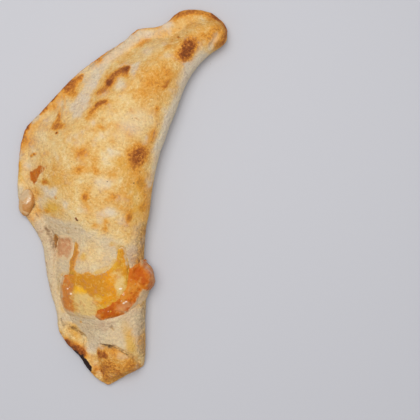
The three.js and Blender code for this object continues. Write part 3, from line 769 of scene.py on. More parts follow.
def pool(name, outline, rise, thickness):
    """A closed sheet over an outline on the skin. Its upper side is a rise above the skin, which is a
    function of the skin's points and of their depth inside the outline, in millimetres."""
    places = np.array([place(*at) for at in outline])
    low = places.min(axis=0) - POOL_MARGIN
    high = places.max(axis=0) + POOL_MARGIN
    across, along = [np.arange(start, end, POOL_STEP) for start, end in zip(low, high)]
    x, y = np.meshgrid(across, along, indexing="ij")
    level = skin_height(np.stack([x.ravel(), y.ravel()], axis=1)).reshape(x.shape)
    level = softened(filled_gaps(filled_gaps(level)), POOL_SOFTENING)
    skin = Skin(np.stack([x.ravel(), y.ravel(), level.ravel()], axis=1))
    depth = skin.depth_inside(outline)
    points = skin.points.copy()
    points[:, 2] += rise(skin, depth) * MM
    index = np.arange(x.size).reshape(x.shape)
    kept = (depth > -POOL_MARGIN / MM).reshape(x.shape) & (level > POOL_LOWEST)
    cells = kept[:-1, :-1] & kept[1:, :-1] & kept[1:, 1:] & kept[:-1, 1:]
    corners = [index[:-1, :-1], index[1:, :-1], index[1:, 1:], index[:-1, 1:]]
    faces = np.stack([corner[cells] for corner in corners], axis=1)
    mesh = bpy.data.meshes.new(name)
    mesh.from_pydata(points.tolist(), [], faces.tolist())
    sheet = new_object(name, mesh)
    solid = sheet.modifiers.new("thick", "SOLIDIFY")
    solid.thickness = thickness
    solid.offset = -1
    return evaluated(sheet, name)


def edge_reaches(skin):
    """The reaches of the seam's edge and of the fold's edge at each point's angle."""
    steps = np.arange(*BEND_ENDS, 1)
    half_slice = 0.8
    near = [skin.reach[np.abs(skin.angle - step) < half_slice] for step in steps]
    seam = np.array([reaches.max() for reaches in near])
    fold = np.array([reaches.min() for reaches in near])
    return np.interp(skin.angle, steps, seam), np.interp(skin.angle, steps, fold)


def enclosed(skin):
    """Whether each point lies on a wall of the hollow inside, with dough above and below it."""
    cell_side = 1.5 * MM
    seam_rim = 5
    fold_wall = 4.5
    cover = 3
    cell = np.floor(skin.points[:, :2] / cell_side).astype(int)
    cell -= cell.min(axis=0)
    top = np.zeros(cell.max(axis=0) + 1)
    bottom = np.full(top.shape, np.inf)
    np.maximum.at(top, tuple(cell.T), skin.height)
    np.minimum.at(bottom, tuple(cell.T), skin.height)
    seam, fold = edge_reaches(skin)
    between_edges = (skin.reach < seam - seam_rim) & (skin.reach > fold + fold_wall)
    under = top[tuple(cell.T)] > skin.height + cover
    over = bottom[tuple(cell.T)] < skin.height - cover
    return between_edges & under & over


def thinned(mesh, chosen, share):
    """The mesh with only a share of the faces round the chosen points."""
    piece = new_object(mesh.name + "_thinned", mesh)
    group = piece.vertex_groups.new(name="chosen")
    group.add(np.flatnonzero(chosen).tolist(), 1, "REPLACE")
    decimate = piece.modifiers.new("thin", "DECIMATE")
    decimate.vertex_group = group.name
    decimate.ratio = 1 - (1 - share) * np.mean(chosen)
    return evaluated(piece, mesh.name)


# ---- Materials ----------------------------------------------------------------------------------------


class Signal:
    """An output socket in a material, which arithmetic joins to others."""

    def __init__(self, recipe, socket):
        self.recipe = recipe
        self.socket = socket

    def _math(self, operation, *values):
        return self.recipe.node("ShaderNodeMath", {"operation": operation}, dict(enumerate(values)))

    def __add__(self, other):
        return self._math("ADD", self, other)

    def __sub__(self, other):
        return self._math("SUBTRACT", self, other)

    def __rsub__(self, other):
        return self._math("SUBTRACT", other, self)

    def __mul__(self, other):
        return self._math("MULTIPLY", self, other)

    def __neg__(self):
        return 0 - self

    __radd__ = __add__
    __rmul__ = __mul__

    def between(self, low, high):
        """0 up to low, 1 from high on, and smooth between."""
        settings = {"interpolation_type": "SMOOTHSTEP"}
        return self.recipe.node("ShaderNodeMapRange", settings, {0: self, 1: low, 2: high})


class Recipe:
    """A material whose Principled shader has constants by socket and is fed by expressions."""

    def __init__(self, name, constants=None):
        self.material = bpy.data.materials.new(name)
        self.material.use_nodes = True
        self.tree = self.material.node_tree
        self.shader = self.tree.nodes["Principled BSDF"]
        for socket, value in (constants or {}).items():
            self.shader.inputs[socket].default_value = value

    def node(self, kind, settings=None, inputs=None, output=0):
        """A node with its settings, then its inputs' values or links, as the signal of one output."""
        made = self.tree.nodes.new(kind)
        for setting, value in (settings or {}).items():
            if setting == "stops":
                self.set_stops(made.color_ramp, value)
            else:
                setattr(made, setting, value)
        for socket, value in (inputs or {}).items():
            self.feed(made.inputs[socket], value)
        return Signal(self, made.outputs[output])

    def feed(self, socket, value):
        """Links a signal to a socket, or sets its value."""
        if isinstance(value, Signal):
            self.tree.links.new(value.socket, socket)
        else:
            socket.default_value = value

    def set_stops(self, ramp, stops):
        """Gives a colour ramp its stops, each a position and a colour."""
        while len(ramp.elements) < len(stops):
            ramp.elements.new(1)
        for element, (position, colour) in zip(ramp.elements, stops):
            element.position = position
            element.color = colour

    def field(self, name):
        """A number painted on the mesh."""
        return self.node("ShaderNodeAttribute", {"attribute_name": name}, output="Fac")

    def noise(self, size, detail=2.0, roughness=0.5):
        """Noise from about -0.5 to 0.5 with features of about a size in metres."""
        where = self.node("ShaderNodeTexCoord", output="Object")
        inputs = {"Vector": where, "Scale": 1 / size, "Detail": detail, "Roughness": roughness}
        return self.node("ShaderNodeTexNoise", inputs=inputs) - 0.5

    def mix(self, share, first, second):
        """One colour giving way to another."""
        return self.node("ShaderNodeMix", {"data_type": "RGBA"}, {0: share, 6: first, 7: second}, output=2)

    def layered(self, colour, *layers):
        """A colour under layers, each a share and a colour, from the lowest to the uppermost."""
        for share, over in layers:
            colour = self.mix(share, colour, over)
        return colour

    def scaled(self, colour, factor):
        """A colour made lighter or darker by a factor."""
        inputs = {"Vector": colour, "Scale": factor}
        return self.node("ShaderNodeVectorMath", {"operation": "SCALE"}, inputs)

    def ramp(self, share, stops):
        """A colour from a row of colours."""
        return self.node("ShaderNodeValToRGB", {"stops": stops}, {0: share})

    def bump(self, height, distance):
        """Feeds the normal from a height in shares of a distance in metres."""
        inputs = {"Height": height, "Distance": distance, "Strength": 1.0}
        self.feed(self.shader.inputs["Normal"], self.node("ShaderNodeBump", inputs=inputs))

    def finish(self, colour, roughness, coat=0.0):
        """Feeds the colour, the roughness and the wet coat, and gives the material back."""
        for socket, value in (("Base Color", colour), ("Roughness", roughness), ("Coat Weight", coat)):
            self.feed(self.shader.inputs[socket], value)
        return self.material


def tone(red, green, blue):
    """A colour from 0 to 255 on a screen, in the linear values that shaders take."""
    shares = np.array([red, green, blue]) / 255
    linear = np.where(shares <= 0.04045, shares / 12.92, ((shares + 0.055) / 1.055) ** 2.4)
    return (*linear.tolist(), 1.0)


def colour_property(name, description, red, green, blue):
    """A colour that a user can change."""
    return Property.FloatVectorProperty(
        name=name,
        description=description,
        subtype="COLOR",
        size=4,
        min=0,
        max=1,
        default=tone(red, green, blue),
    )


def length_property(name, description, default):
    """A length in metres that a user can change."""
    return Property.FloatProperty(
        name=name, description=description, default=default, min=0, precision=5, unit="LENGTH"
    )


def power_property(name, description, default):
    """A lamp's power in watts that a user can change."""
    return Property.FloatProperty(name=name, description=description, default=default, min=0, unit="POWER")


# ---- Settings -----------------------------------------------------------------------------------------


class CrustSettings(bpy.types.PropertyGroup):
    """The baked dough."""

    voxel: length_property("Mesh step", "Size of the skin's mesh faces", 0.9 * MM)
    lumps: length_property("Lumps", "Height of the broad unevenness of the skin", 0.45 * MM)
    pimples: length_property("Pimples", "Height of the small unevenness of the skin", 0.22 * MM)
    crumbs: length_property("Crumbs", "Height of the grain where the skin is crumbly", 0.42 * MM)
    blisters: length_property("Blisters", "Rise of the skin where it browned", 0.6 * MM)
    pale: colour_property("Pale", "Skin that hardly browned", 236, 213, 165)
    cream: colour_property("Cream", "Lightly baked skin", 236, 199, 132)
    honey: colour_property("Honey", "Evenly baked skin", 228, 173, 90)
    golden: colour_property("Golden", "Well baked skin", 225, 153, 56)
    toasted: colour_property("Toasted", "Edges of brown spots", 194, 120, 44)
    brown: colour_property("Brown", "Brown spots", 160, 86, 30)
    dark: colour_property("Dark", "Middles of the darkest spots", 130, 68, 26)
    flour: colour_property("Flour", "Dusted and untoasted skin", 227, 211, 186)
    damp: colour_property("Damp", "Skin that the filling keeps from browning", 216, 195, 161)
    sodden: colour_property("Sodden", "Pinkish skin that the filling has soaked", 204, 170, 136)
    stain: colour_property("Stain", "Sauce that came through the skin", 182, 84, 0)
    stain_light: colour_property("Light stain", "Thinner sauce in the stain", 210, 122, 24)
    oil: colour_property("Oil", "Yellow oil under the skin", 232, 178, 60)
    # Colour of the smudges and of the painted shade in creases.
    smudge: colour_property("Smudge", "Shaded creases", 124, 90, 56)
    # Also the colour of the painted shadow in the slit under the flap's front edge.
    char: colour_property("Burn", "Burnt edge", 46, 29, 26)
    speck: colour_property("Burnt speck", "Burnt crumbs on the skin", 70, 44, 26)


class FillingSettings(bpy.types.PropertyGroup):
    """The melted filling and the ham."""

    voxel: length_property("Mesh step", "Size of the filling's mesh faces", 0.7 * MM)
    cheese: colour_property("Cheese", "Melted cheese", 220, 162, 40)
    bright: colour_property("Bright cheese", "Fresh yellow cheese", 250, 185, 28)
    milky: colour_property("Milky cheese", "Paler melted cheese", 230, 196, 128)
    scorched: colour_property("Scorched cheese", "Browned cheese at the tear's edge", 208, 134, 18)
    stewed: colour_property("Stewed cheese", "Cheese that took the tomato's colour", 212, 124, 48)
    curds: colour_property("Browned curds", "Browned bits in the cheese", 184, 106, 16)
    amber: colour_property("Amber oil", "Orange oil on the cheese", 230, 148, 2)
    tomato: colour_property("Tomato", "Cooked tomato", 210, 112, 10)
    tomato_deep: colour_property("Deep tomato", "Darkest bits of tomato", 188, 82, 0)
    tomato_light: colour_property("Oily tomato", "Tomato mixed with cheese and oil", 226, 148, 44)
    tomato_dry: colour_property("Dry tomato", "Tomato that dried on the skin", 212, 142, 86)
    film: colour_property("Film of dough", "Thin dough on the filling's edges", 222, 192, 146)
    # Colour of the painted highlights on the filling.
    fat: colour_property("Fat", "White beads of fat on the filling", 255, 232, 204)
    ham: colour_property("Ham", "Cooked ham", 200, 138, 90)
    ham_fat: colour_property("Ham fat", "Paler streaks in the ham", 214, 164, 114)
    bubble: colour_property("Bubble", "Glossy blister of cheese at the seam", 204, 160, 104)
    bubble_base: colour_property("Bubble base", "Browner foot of the blister", 192, 132, 64)
    # Also the colour of the painted highlight on the blister's crescent.
    bubble_pale: colour_property("Pale bubble", "Sunken top of the blister", 208, 177, 134)


class StageSettings(bpy.types.PropertyGroup):
    """The floor, lights and camera."""

    floor: colour_property("Floor", "Plain floor", 196, 196, 200)
    floor_shade: colour_property("Floor shade", "Darker clouds in the floor", 188, 187, 192)
    camera_height: length_property("Camera height", "Height of the camera over the floor", 0.75)
    field: length_property("Field", "Width of the floor that the camera sees", 0.3238)
    softbox: power_property("Softbox", "Power of the soft lamp", 8.3)
    glint: power_property("Glint", "Power of the small lamp that wet surfaces mirror", 0.8)
    sky: colour_property("Sky", "Light from all round", 250, 250, 255)
    ambient: Property.FloatProperty(
        name="Ambient", description="Strength of the light from all round", default=0.42, min=0
    )


# ---- The crust ----------------------------------------------------------------------------------------


def crust_fields(skin, normals):
    """What the baking did to each point of the dough, as shares that paint keeps between 0 and 1."""
    upward = smooth_step(-0.35, 0.35, normals[:, 2])
    downward = smooth_step(0.3, 0.8, -normals[:, 2]) * smooth_step(3, 1, skin.height)
    seam, fold = edge_reaches(skin)
    from_seam = seam - skin.reach
    from_fold = skin.reach - fold
    uneven = skin.shifted(7, 0.9, 11).shifted(2.4, 0.7, 13)
    cloudy = layered_noise(skin.points, 16 * MM, 21)
    blotchy = layered_noise(skin.points, 7 * MM, 31, layers=4)
    dusty = layered_noise(skin.points, 8 * MM, 35)

    toasted = uneven.sum_of(TOAST_MARKS) * upward
    mottled = 0.07 * cloudy + 0.18 * blotchy
    toast = 0.25 + toasted + mottled * (1 - 0.75 * smooth_step(0.25, 0.5, toasted))
    edge_brown = smooth_step(-6, 4, skin.angle) * (0.6 + 0.5 * cloudy)
    toast += 0.46 * edge_brown * band(from_seam, 0, 1.7)
    toast += 0.2 * edge_brown * band(from_seam, 0, 7)
    toast += 0.2 * edge_brown * band(from_seam, 3.6, 0.9) * smooth_step(14, 18, skin.angle)
    along_neck = smooth_step(4, 14, skin.angle) * smooth_step(42, 36, skin.angle)
    # Less browned along the fold's edge by the neck: partly untoasted dough, partly painted light where the
    # fold faces away from the lamp.
    toast -= 0.2 * band(from_fold, 1, 5) * along_neck

    underneath = layered_noise(skin.points, 22 * MM, 41)
    spotted = smooth_step(0.25, 0.7, layered_noise(skin.points, 9 * MM, 51))
    toast += downward * (0.18 + 0.16 * underneath + 0.35 * spotted)

    browned = smooth_step(0.5, 0.75, toast)
    flour = uneven.sum_of(FLOUR_AND_LIGHT_MARKS) * upward
    # Paler along the fold's edge, most by the neck: partly untoasted dough, partly painted light where the
    # fold faces away from the lamp.
    flour += 0.9 * band(from_fold, 1, 4.5) * (0.2 + 0.8 * along_neck)
    flour += 0.5 * smooth_step(0, 0.8, dusty) * (1 - downward)
    char = skin.shifted(3, 0.8, 61).sum_of(CHAR_AND_SLIT_SHADOW_MARKS) * smooth_step(-0.75, -0.2, normals[:, 2])
    return {
        "toast": toast,
        "flour": flour * (1 - browned),
        "damp": uneven.sum_of(DAMP_MARKS) * upward * (1 - 0.9 * smooth_step(0.42, 0.6, toast)),
        "sodden": uneven.sum_of(SODDEN_MARKS) * upward * (1 - browned),
        "stain": uneven.sum_of(STAINS) * upward,
        "yellow": uneven.sum_of(YELLOW_MARKS) * upward + 0.16 * smooth_step(0.1, 0.9, -dusty),
        "smudge": uneven.sum_of(SMUDGES_AND_CREASE_SHADE) * upward,
        "char": char,
        "crumbly": np.clip(skin.sum_of(CRUMBLY_AREAS), 0, 1),
    }


def crust_relief(skin, normals, fields, settings):
    """How far the baking raised each point of the dough, in metres."""
    upward = smooth_step(0, 0.6, normals[:, 2])
    above_base = smooth_step(0.5, 4, skin.height)
    lumps = settings.lumps * layered_noise(skin.points, 14 * MM, 71)
    pimples = settings.pimples * layered_noise(skin.points, 2.6 * MM, 81, layers=2)
    crumbs = settings.crumbs * fields["crumbly"] * layered_noise(skin.points, 2.2 * MM, 85, layers=2)
    browned = smooth_step(0.45, 0.9, fields["toast"])
    blisters = settings.blisters * browned * (0.6 + 0.4 * layered_noise(skin.points, 3 * MM, 91))
    furrows = skin.shifted(6, 0.6, 101).sum_of(FURROWS) * MM
    return above_base * (lumps + pimples) + upward * (blisters + crumbs - furrows)


def crust_material(settings):
    """Matte skin that runs from pale flour to burnt brown, with grain in it."""
    recipe = Recipe(
        "baked_crust",
        {
            "Subsurface Weight": 0.06,
            "Subsurface Scale": SCATTERING,
            "Subsurface Radius": (1, 0.5, 0.25),
            "Specular IOR Level": 0.25,
        },
    )
    toast = recipe.field("toast")
    fine = recipe.noise(1.8 * MM, detail=3, roughness=0.7)
    patchy = recipe.noise(4.5 * MM, detail=3)
    grain = fine + patchy * 0.6
    dots = recipe.noise(2.2 * MM, detail=1).between(0.12, 0.24)
    stipple = fine * (toast * 0.5 + recipe.field("crumbly") * 0.6 + 0.22)
    baked = toast + patchy * 0.3 + stipple - dots * toast * 0.12
    skin = recipe.ramp(
        baked,
        [
            (0.0, settings.pale),
            (0.18, settings.cream),
            (0.38, settings.honey),
            (0.56, settings.golden),
            (0.72, settings.toasted),
            (0.88, settings.brown),
            (1.0, settings.dark),
        ],
    )
    floury = (recipe.field("flour") + grain * 0.6).between(0.05, 1.1)
    damp = (recipe.field("damp") + grain * 0.8).between(0.05, 1)
    sodden = (recipe.field("sodden") + grain * 0.8).between(0.05, 1)
    unbrowned = 1 - toast.between(0.4, 0.65) * 0.9
    oily = (recipe.field("yellow") + grain * 0.5).between(0.1, 1)
    stained = (recipe.field("stain") + grain).between(0.15, 0.9)
    # Smudges, and painted shade in creases, in the flap's slit and along the fold's edge.
    shaded = (recipe.field("smudge") + grain * 0.8).between(0.1, 1)
    # Burn, and the painted shadow in the flap's slit.
    burnt = (recipe.field("char") + grain * 0.9).between(0.2, 0.75)
    colour = recipe.layered(
        skin,
        # Flour and untoasted dough, with painted light along the waist's fold and the fold's edge.
        (floury * 0.88, settings.flour),
        (damp * 0.85, settings.damp),
        (sodden * 0.85, settings.sodden),
        (grain.between(0.02, 0.3) * 0.12, settings.toasted),
        ((-grain).between(0.02, 0.3) * unbrowned * 0.3, settings.pale),
    )
    colour = recipe.layered(
        recipe.scaled(colour, 1.02 - fine * 0.5),
        (oily * 0.75, settings.oil),
        (stained, recipe.mix(grain.between(-0.3, 0.3), settings.stain, settings.stain_light)),
        (shaded * 0.9, settings.smudge),
        (burnt, settings.char),
    )
    recipe.bump(fine + patchy * 0.7, 1.6 * MM)
    return recipe.finish(colour, 0.8 - stained * 0.3 + fine * 0.2)


def finish_piece(mesh, material, slot, *nodes):
    """Puts a mesh in the scene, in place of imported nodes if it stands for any."""
    mesh.materials.append(material)
    piece = new_object(mesh.name, mesh)
    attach(piece, "root")
    if nodes:
        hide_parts(*nodes)


class PANZEROTTO_OT_crust(bpy.types.Operator):
    """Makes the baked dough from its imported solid"""

    bl_idname = "panzerotto.crust"
    bl_label = "Crust"

    def execute(self, context):
        settings = context.scene.panzerotto_crust
        mesh = remeshed("crust", [welded("dough")], settings.voxel, CRUST_SMOOTHING)
        mesh = thinned(mesh, enclosed(Skin(points_of(mesh))), INNER_SHARE)
        skin = Skin(points_of(mesh))
        normals = normals_of(mesh)
        fields = crust_fields(skin, normals)
        push_out(mesh, crust_relief(skin, normals, fields, settings))
        paint(mesh, **fields)
        finish_piece(mesh, crust_material(settings), "crust", "dough")
        return {"FINISHED"}


# Burnt crumbs on the skin that stand out: angle, reach and size in millimetres.
SPECKS = [
    (6.6, 40.2, 1.5), (36.3, 12.2, 1.5), (36.4, 10.9, 1), (38.2, 10.8, 0.9), (-8.4, 7.2, 2.8),
    (-8.7, 6.2, 2.3), (2.7, -28.4, 1.3), (-9.6, 1.6, 0.7), (-0.7, -35, 0.8), (-21.6, 20.8, 0.9),
    (-21, 16.6, 0.8), (-11.4, 36.4, 0.8), (21.5, -16.2, 0.9), (16.8, -8.6, 0.8), (1, -10, 0.8),
    (-4.4, -1.6, 0.8), (5.6, 65.4, 1.4),
]
# Small ones are strewn at random within these.
SMALL_SPECKS = 60
SMALL_SPECK_ANGLES = (-30, 42)
SMALL_SPECK_REACHES = (-24, 30)
SMALL_SPECK_SIZES = (0.3, 0.6)
# Every speck is turned by so many radians, squashed and made lumpy by shares within these.
SPECK_TURNS = (0, 6.3)
SPECK_SQUASH = (0.55, 0.9)
SPECK_LUMPINESS = (0.75, 1.2)
SPECK_HEIGHT = 0.5  # as a share of its size


def speck_material(settings):
    """Burnt crumb, dull and nearly black in parts."""
    recipe = Recipe("burnt_speck")
    fine = recipe.noise(0.5 * MM)
    colour = recipe.mix(fine.between(-0.1, 0.1), settings.speck, settings.brown)
    recipe.bump(fine, 0.1 * MM)
    return recipe.finish(colour, 0.85 + fine * 0.1)


class PANZEROTTO_OT_specks(bpy.types.Operator):
    """Strews burnt crumbs over the skin"""

    bl_idname = "panzerotto.specks"
    bl_label = "Burnt specks"

    def execute(self, context):
        settings = context.scene.panzerotto_crust
        dice = np.random.default_rng(211)
        ranges = (SMALL_SPECK_ANGLES, SMALL_SPECK_REACHES, SMALL_SPECK_SIZES)
        small = [tuple(dice.uniform(*ends) for ends in ranges) for _ in range(SMALL_SPECKS)]
        specks = [*SPECKS, *small]
        places = np.array([place(angle, reach) for angle, reach, _ in specks])
        levels = top_over(tree_of(bpy.data.objects["crust"].data), places)
        shell = bmesh.new()
        for (x, y), level, (_, _, size) in zip(places, levels, specks):
            lump = bmesh.ops.create_icosphere(shell, subdivisions=1, radius=size * MM / 2)
            spin = Matrix.Rotation(dice.uniform(*SPECK_TURNS), 4, "Z")
            squash = Matrix.Diagonal((1, dice.uniform(*SPECK_SQUASH), SPECK_HEIGHT, 1))
            move = Matrix.Translation((x, y, level)) @ spin @ squash
            for vertex in lump["verts"]:
                vertex.co = move @ (vertex.co * dice.uniform(*SPECK_LUMPINESS))
        mesh = bpy.data.meshes.new("burnt_specks")
        shell.to_mesh(mesh)
        shell.free()
        finish_piece(mesh, speck_material(settings), "crust")
        return {"FINISHED"}


# ---- The filling --------------------------------------------------------------------------------------

# Melted cheese and cooked tomato as they lie in the tear and over its edges, and the ham in the skin's
# window.
CHEESE_OUTLINE = [
    (-20.6, 11.5), (-20.6, 17.6), (-22.4, 20.4), (-25, 21.6), (-28, 21.8), (-29, 13), (-30, 4),
    (-31, -4), (-30, -16), (-28, -26), (-24.4, -31), (-20, -33), (-16.5, -31.4), (-14.4, -29.6),
    (-14.2, -26.6), (-17, -24.4), (-18.8, -21), (-20.2, -14), (-20.6, -4), (-20.2, 3), (-19.8, 8.6),
]
TOMATO_OUTLINE = [
    (-30.2, -1), (-31, -10), (-31.1, -20), (-30.5, -29), (-29.6, -35), (-28, -40), (-26, -46),
    (-22, -51), (-19, -47), (-18.4, -42), (-18.9, -38.4), (-20, -35), (-21.4, -33), (-23.4, -31.6),
    (-24.8, -29), (-25.8, -25), (-27, -21.4), (-27.8, -16), (-28.2, -9), (-29, -4.6),
]
HAM_OUTLINE = [
    (-12.4, 10.4), (-12.4, 21), (-14.6, 22), (-17, 21.6), (-17.4, 14.4), (-16.8, 9.6), (-14.4, 9),
]

# Edges of the tear where the filling lies lower than the skin, so that the skin's torn lip shows.
LIPS = [
    Stroke([(-27.8, 21.4), (-28.4, 14), (-29.6, 4), (-30.8, -4)], 1.6, 0.05),
    Stroke([(-30.8, -4), (-31.4, -14), (-31.2, -24), (-30, -34)], 1.6, 0.4),
]

# Where the cheese is scorched, took the tomato's colour, is oily, milky or bright, or lies under a film
# of dough.
CHEESE_AREAS = {
    "scorched": [
        Patch(
            [
                (-18, 15), (-18.4, 2), (-19, -8), (-20, -14), (-22, -17), (-24.6, -19.4),
                (-26.4, -20.4), (-26, -16), (-25.2, -11), (-24.9, -5), (-24.3, 0), (-23.6, 5),
                (-22.8, 10), (-23.4, 15),
            ],
            4, 1,
        ),
        Stroke([(-14.4, -28.4), (-17, -27.4), (-19.6, -26), (-21, -22)], 2.4, 0.5),
        Stroke([(-15, -31), (-18, -31.4), (-21, -31)], 3, 0.6),
        Spot(-22.6, -9, 3, 5, 0.3),
        Spot(-24, 0, 1.6, 3, 0.3),
    ],
    "stewed": [
        Patch(
            [
                (-19.6, 11), (-19.6, 20), (-22, 23), (-25, 24), (-29, 24), (-28.6, 13), (-26, 12),
                (-23, 11),
            ],
            4.4, 1,
        ),
        Spot(-29.6, -6, 3, 4, 0.6),
    ],
    "amber": [
        Patch([(-19.6, -16), (-20, -22), (-23, -22.6), (-24.4, -21), (-23.8, -17), (-22, -15)], 4.4, 1),
        Patch(
            [
                (-24, -18), (-24.6, -23), (-26.6, -23), (-27.6, -14), (-27.6, -7), (-26.4, -8),
                (-25.8, -15),
            ],
            3.6, 1,
        ),
        Stroke([(-16.6, -30), (-19, -30.6), (-21.4, -30)], 1.6, 0.4),
    ],
    "milky": [
        Patch([(-24, 11), (-24.4, 0), (-25.4, -6), (-27.2, -8), (-28.8, -5), (-31, -2), (-30, 12)], 4.4, 1),
        Patch([(-20.6, -21.4), (-20, -27), (-22.6, -29.6), (-25.4, -27.8), (-26, -23), (-24, -22)], 4.4, 1),
    ],
    "bright": [
        Patch([(-22.9, 8.6), (-23.3, 1), (-24.4, -1), (-24.8, 4), (-24.2, 9.4)], 2.6, 0.9),
        Spot(-26, -3, 2.4, 3, 0.3),
    ],
    "filmed": [
        Stroke([(-28.2, 22), (-29, 13), (-30, 4), (-31, -4)], 2.6, 1),
        Stroke(
            [(-20, 21), (-19.8, 15), (-19.6, 9), (-20, 0), (-20.2, -10), (-19.4, -18), (-17, -23.6)],
            1.5, 0.7,
        ),
        Stroke([(-14.2, -27), (-13.6, -29), (-15.4, -31.6), (-18, -32.6)], 1.5, 0.7),
        Stroke([(-21.2, 17.4), (-22.4, 20), (-25, 21.6), (-27.6, 21.8)], 1.8, 0.6),
    ],
}

# Where the tomato is mixed with oil, is darkest, dried on the skin, or lies under a film of dough.
TOMATO_AREAS = {
    "oily": [
        Patch(
            [
                (-22.6, -32), (-24, -30.6), (-26.4, -24), (-27.6, -20), (-28, -27), (-26.4, -35),
                (-24.4, -38),
            ],
            3, 0.6,
        ),
        Spot(-28, -26, 1.6, 3, 0.6),
        Spot(-25, -39, 5, 4, 0.3),
    ],
    "deep": [
        Patch(
            [(-19, -35), (-19, -41), (-21, -44), (-24, -44), (-23, -38), (-22.6, -34), (-21, -33)], 3.4, 0.6
        ),
        Patch([(-28.3, -9), (-28.1, -18), (-29.6, -20), (-30.6, -18), (-30.6, -11), (-29.4, -8)], 1.4, 0.8),
        Spot(-23.2, -43.4, 2.4, 2.6, 0.8),
        Spot(-27.2, -36, 4, 3, 0.5),
    ],
    "dry": [
        Patch(
            [(-28.2, -21), (-28.2, -30), (-28.8, -35), (-30, -34), (-30.8, -22), (-29.4, -20.6)], 3, 0.85
        ),
        Patch([(-29.2, -3), (-29.6, -7), (-31, -8), (-31.4, -2)], 2.6, 0.7),
        Stroke([(-18.6, -46), (-21, -50), (-25, -49)], 3, 0.8),
    ],
    "filmed": [
        Patch(
            [
                (-30.8, -24), (-30, -31), (-29, -35), (-27.4, -38), (-26, -41.6), (-26.4, -52),
                (-34, -52), (-34, -24),
            ],
            1.2, 1,
        ),
        Stroke([(-30.4, -1), (-31.2, -8), (-31.3, -18)], 1, 0.6),
        Stroke([(-17.4, -39), (-18.2, -44)], 1.6, 0.5),
    ],
}

# Painted highlights: small white spots on the wet filling.
PAINTED_HIGHLIGHT_SPOTS = [
    Spot(-24.3, 12.2, 0.9, 1.1, 1),
    Spot(-26.8, 22, 0.9, 0.9, 1),
    Spot(-23.2, 14.4, 0.7, 0.9, 0.9),
    Spot(-22.9, 12.6, 0.6, 0.8, 0.6),
    Spot(-24.5, -26.2, 0.8, 1.4, 1.1),
    Spot(-28.3, -26.4, 0.8, 1, 1),
    Spot(-28, -28.4, 0.7, 1, 0.9),
    Spot(-27.6, -25.2, 0.7, 0.8, 0.7),
    Spot(-26.2, -27.6, 0.6, 1, 0.7),
    Spot(-29.4, -14, 0.6, 0.9, 0.6),
    Spot(-28.9, -11.4, 0.6, 0.7, 0.5),
    Spot(-22.6, -34.6, 0.6, 0.9, 0.5),
    Spot(-23.8, -37, 0.6, 1, 0.5),
]

# Wet bits of the filling.
WET_AREAS = [
    Spot(-24, 12.8, 1.6, 1.2, 1),
    Spot(-26.7, 22, 1.3, 0.9, 1),
    Spot(-23, 14.6, 1.2, 1, 0.8),
    Spot(-21.8, 13.4, 1.2, 1, 0.5),
    Stroke([(-21, 10), (-22.4, 16), (-25, 15)], 1.4, 0.3),
    Spot(-24.6, -26.2, 2.2, 1.2, 1),
    Spot(-25.8, -27, 1.6, 2.6, 0.8),
    Spot(-28, -27.4, 1.6, 2.4, 0.9),
    Spot(-28.6, -31, 1.4, 2, 0.6),
    Spot(-28.6, -20, 1.3, 1.6, 0.6),
    Spot(-29.4, -9, 1.2, 1.8, 0.5),
    Spot(-25, -33, 2, 2.6, 0.6),
    Spot(-22.6, -38, 1.8, 2.2, 0.5),
    Spot(-20.6, -43, 1.8, 2, 0.5),
    Spot(-26, -12, 1.4, 2.4, 0.5),
    Spot(-21.8, -20, 1.4, 1.6, 0.5),
    Spot(-18, -27, 1.6, 1.4, 0.4),
    Stroke([(-19.4, -46), (-21.4, -48)], 1.6, 0.9),
]

# Where the ham shows; a film of dough covers the rest of its top.
BARE_HAM = [(-12.7, 10.8), (-12.9, 22), (-14.6, 22.6), (-16.6, 22), (-16.4, 17), (-17, 13.4), (-15, 10.2)]

# How the blister at the seam is dented and rimmed, in millimetres.
BLISTER_FORM = [
    Spot(-5.2, 52.6, 5, 3.4, -1.3),
    Stroke([(-6.4, 56.6), (-7.6, 56.8), (-8.8, 53), (-9.2, 48.4), (-8.8, 45)], 1.4, 0.3),
    Stroke([(-4.4, 49.6), (-5.6, 46.8), (-7.2, 45.2)], 1.2, 0.5),
]

# Where the blister is browner and where it is paler, the paler part with a painted highlight along its
# crescent.
BLISTER_AREAS = {
    "foot": [
        Patch(
            [
                (-6.9, 52.6), (-8.5, 51.4), (-8.8, 44), (-7, 43.6), (-5.4, 45.8), (-6.6, 46.8),
                (-7.3, 48.6),
            ],
            0.8, 0.9,
        ),
        Stroke([(-9, 51), (-9.6, 46), (-9.2, 43)], 1.4, 0.8),
        Stroke([(-7, 57.8), (-8.4, 56.4)], 1, 0.5),
    ],
    "pale": [
        Patch([(-3.6, 57), (-6.6, 59), (-6.8, 52), (-5.6, 48.4), (-4.2, 50)], 1.2, 0.9),
        # Painted highlight: a paler crescent along the blister's glossy edge.
        Stroke([(-5.8, 48.4), (-6.6, 47.4), (-7.2, 49), (-7.3, 52)], 0.9, 0.6),
    ],
}


def cheese_rise(skin, depth):
    """Millimetres by which the cheese stands over the skin."""
    swell = layered_noise(skin.points, 5 * MM, 201)
    inside = smooth_step(-1.6, 1.4, depth + 0.9 * layered_noise(skin.points, 5 * MM, 203))
    return -1.6 + inside * (1.8 + 0.3 * swell) - skin.sum_of(LIPS) * smooth_step(-2, 0, depth)


def tomato_rise(skin, depth):
    """Millimetres by which the tomato stands over the skin."""
    swell = layered_noise(skin.points, 6 * MM, 205)
    inside = smooth_step(-1.6, 1.6, depth + 0.8 * layered_noise(skin.points, 5 * MM, 207))
    return -1.8 + inside * (2.3 + 0.5 * swell) - 0.7 * skin.sum_of(LIPS) * smooth_step(-2, 0, depth)


def ham_rise(skin, depth):
    """Millimetres by which the ham stands over the skin, which is less than 0."""
    return -1.4 + smooth_step(-1.5, 1.5, depth) * (1.1 + 0.2 * layered_noise(skin.points, 5 * MM, 209))


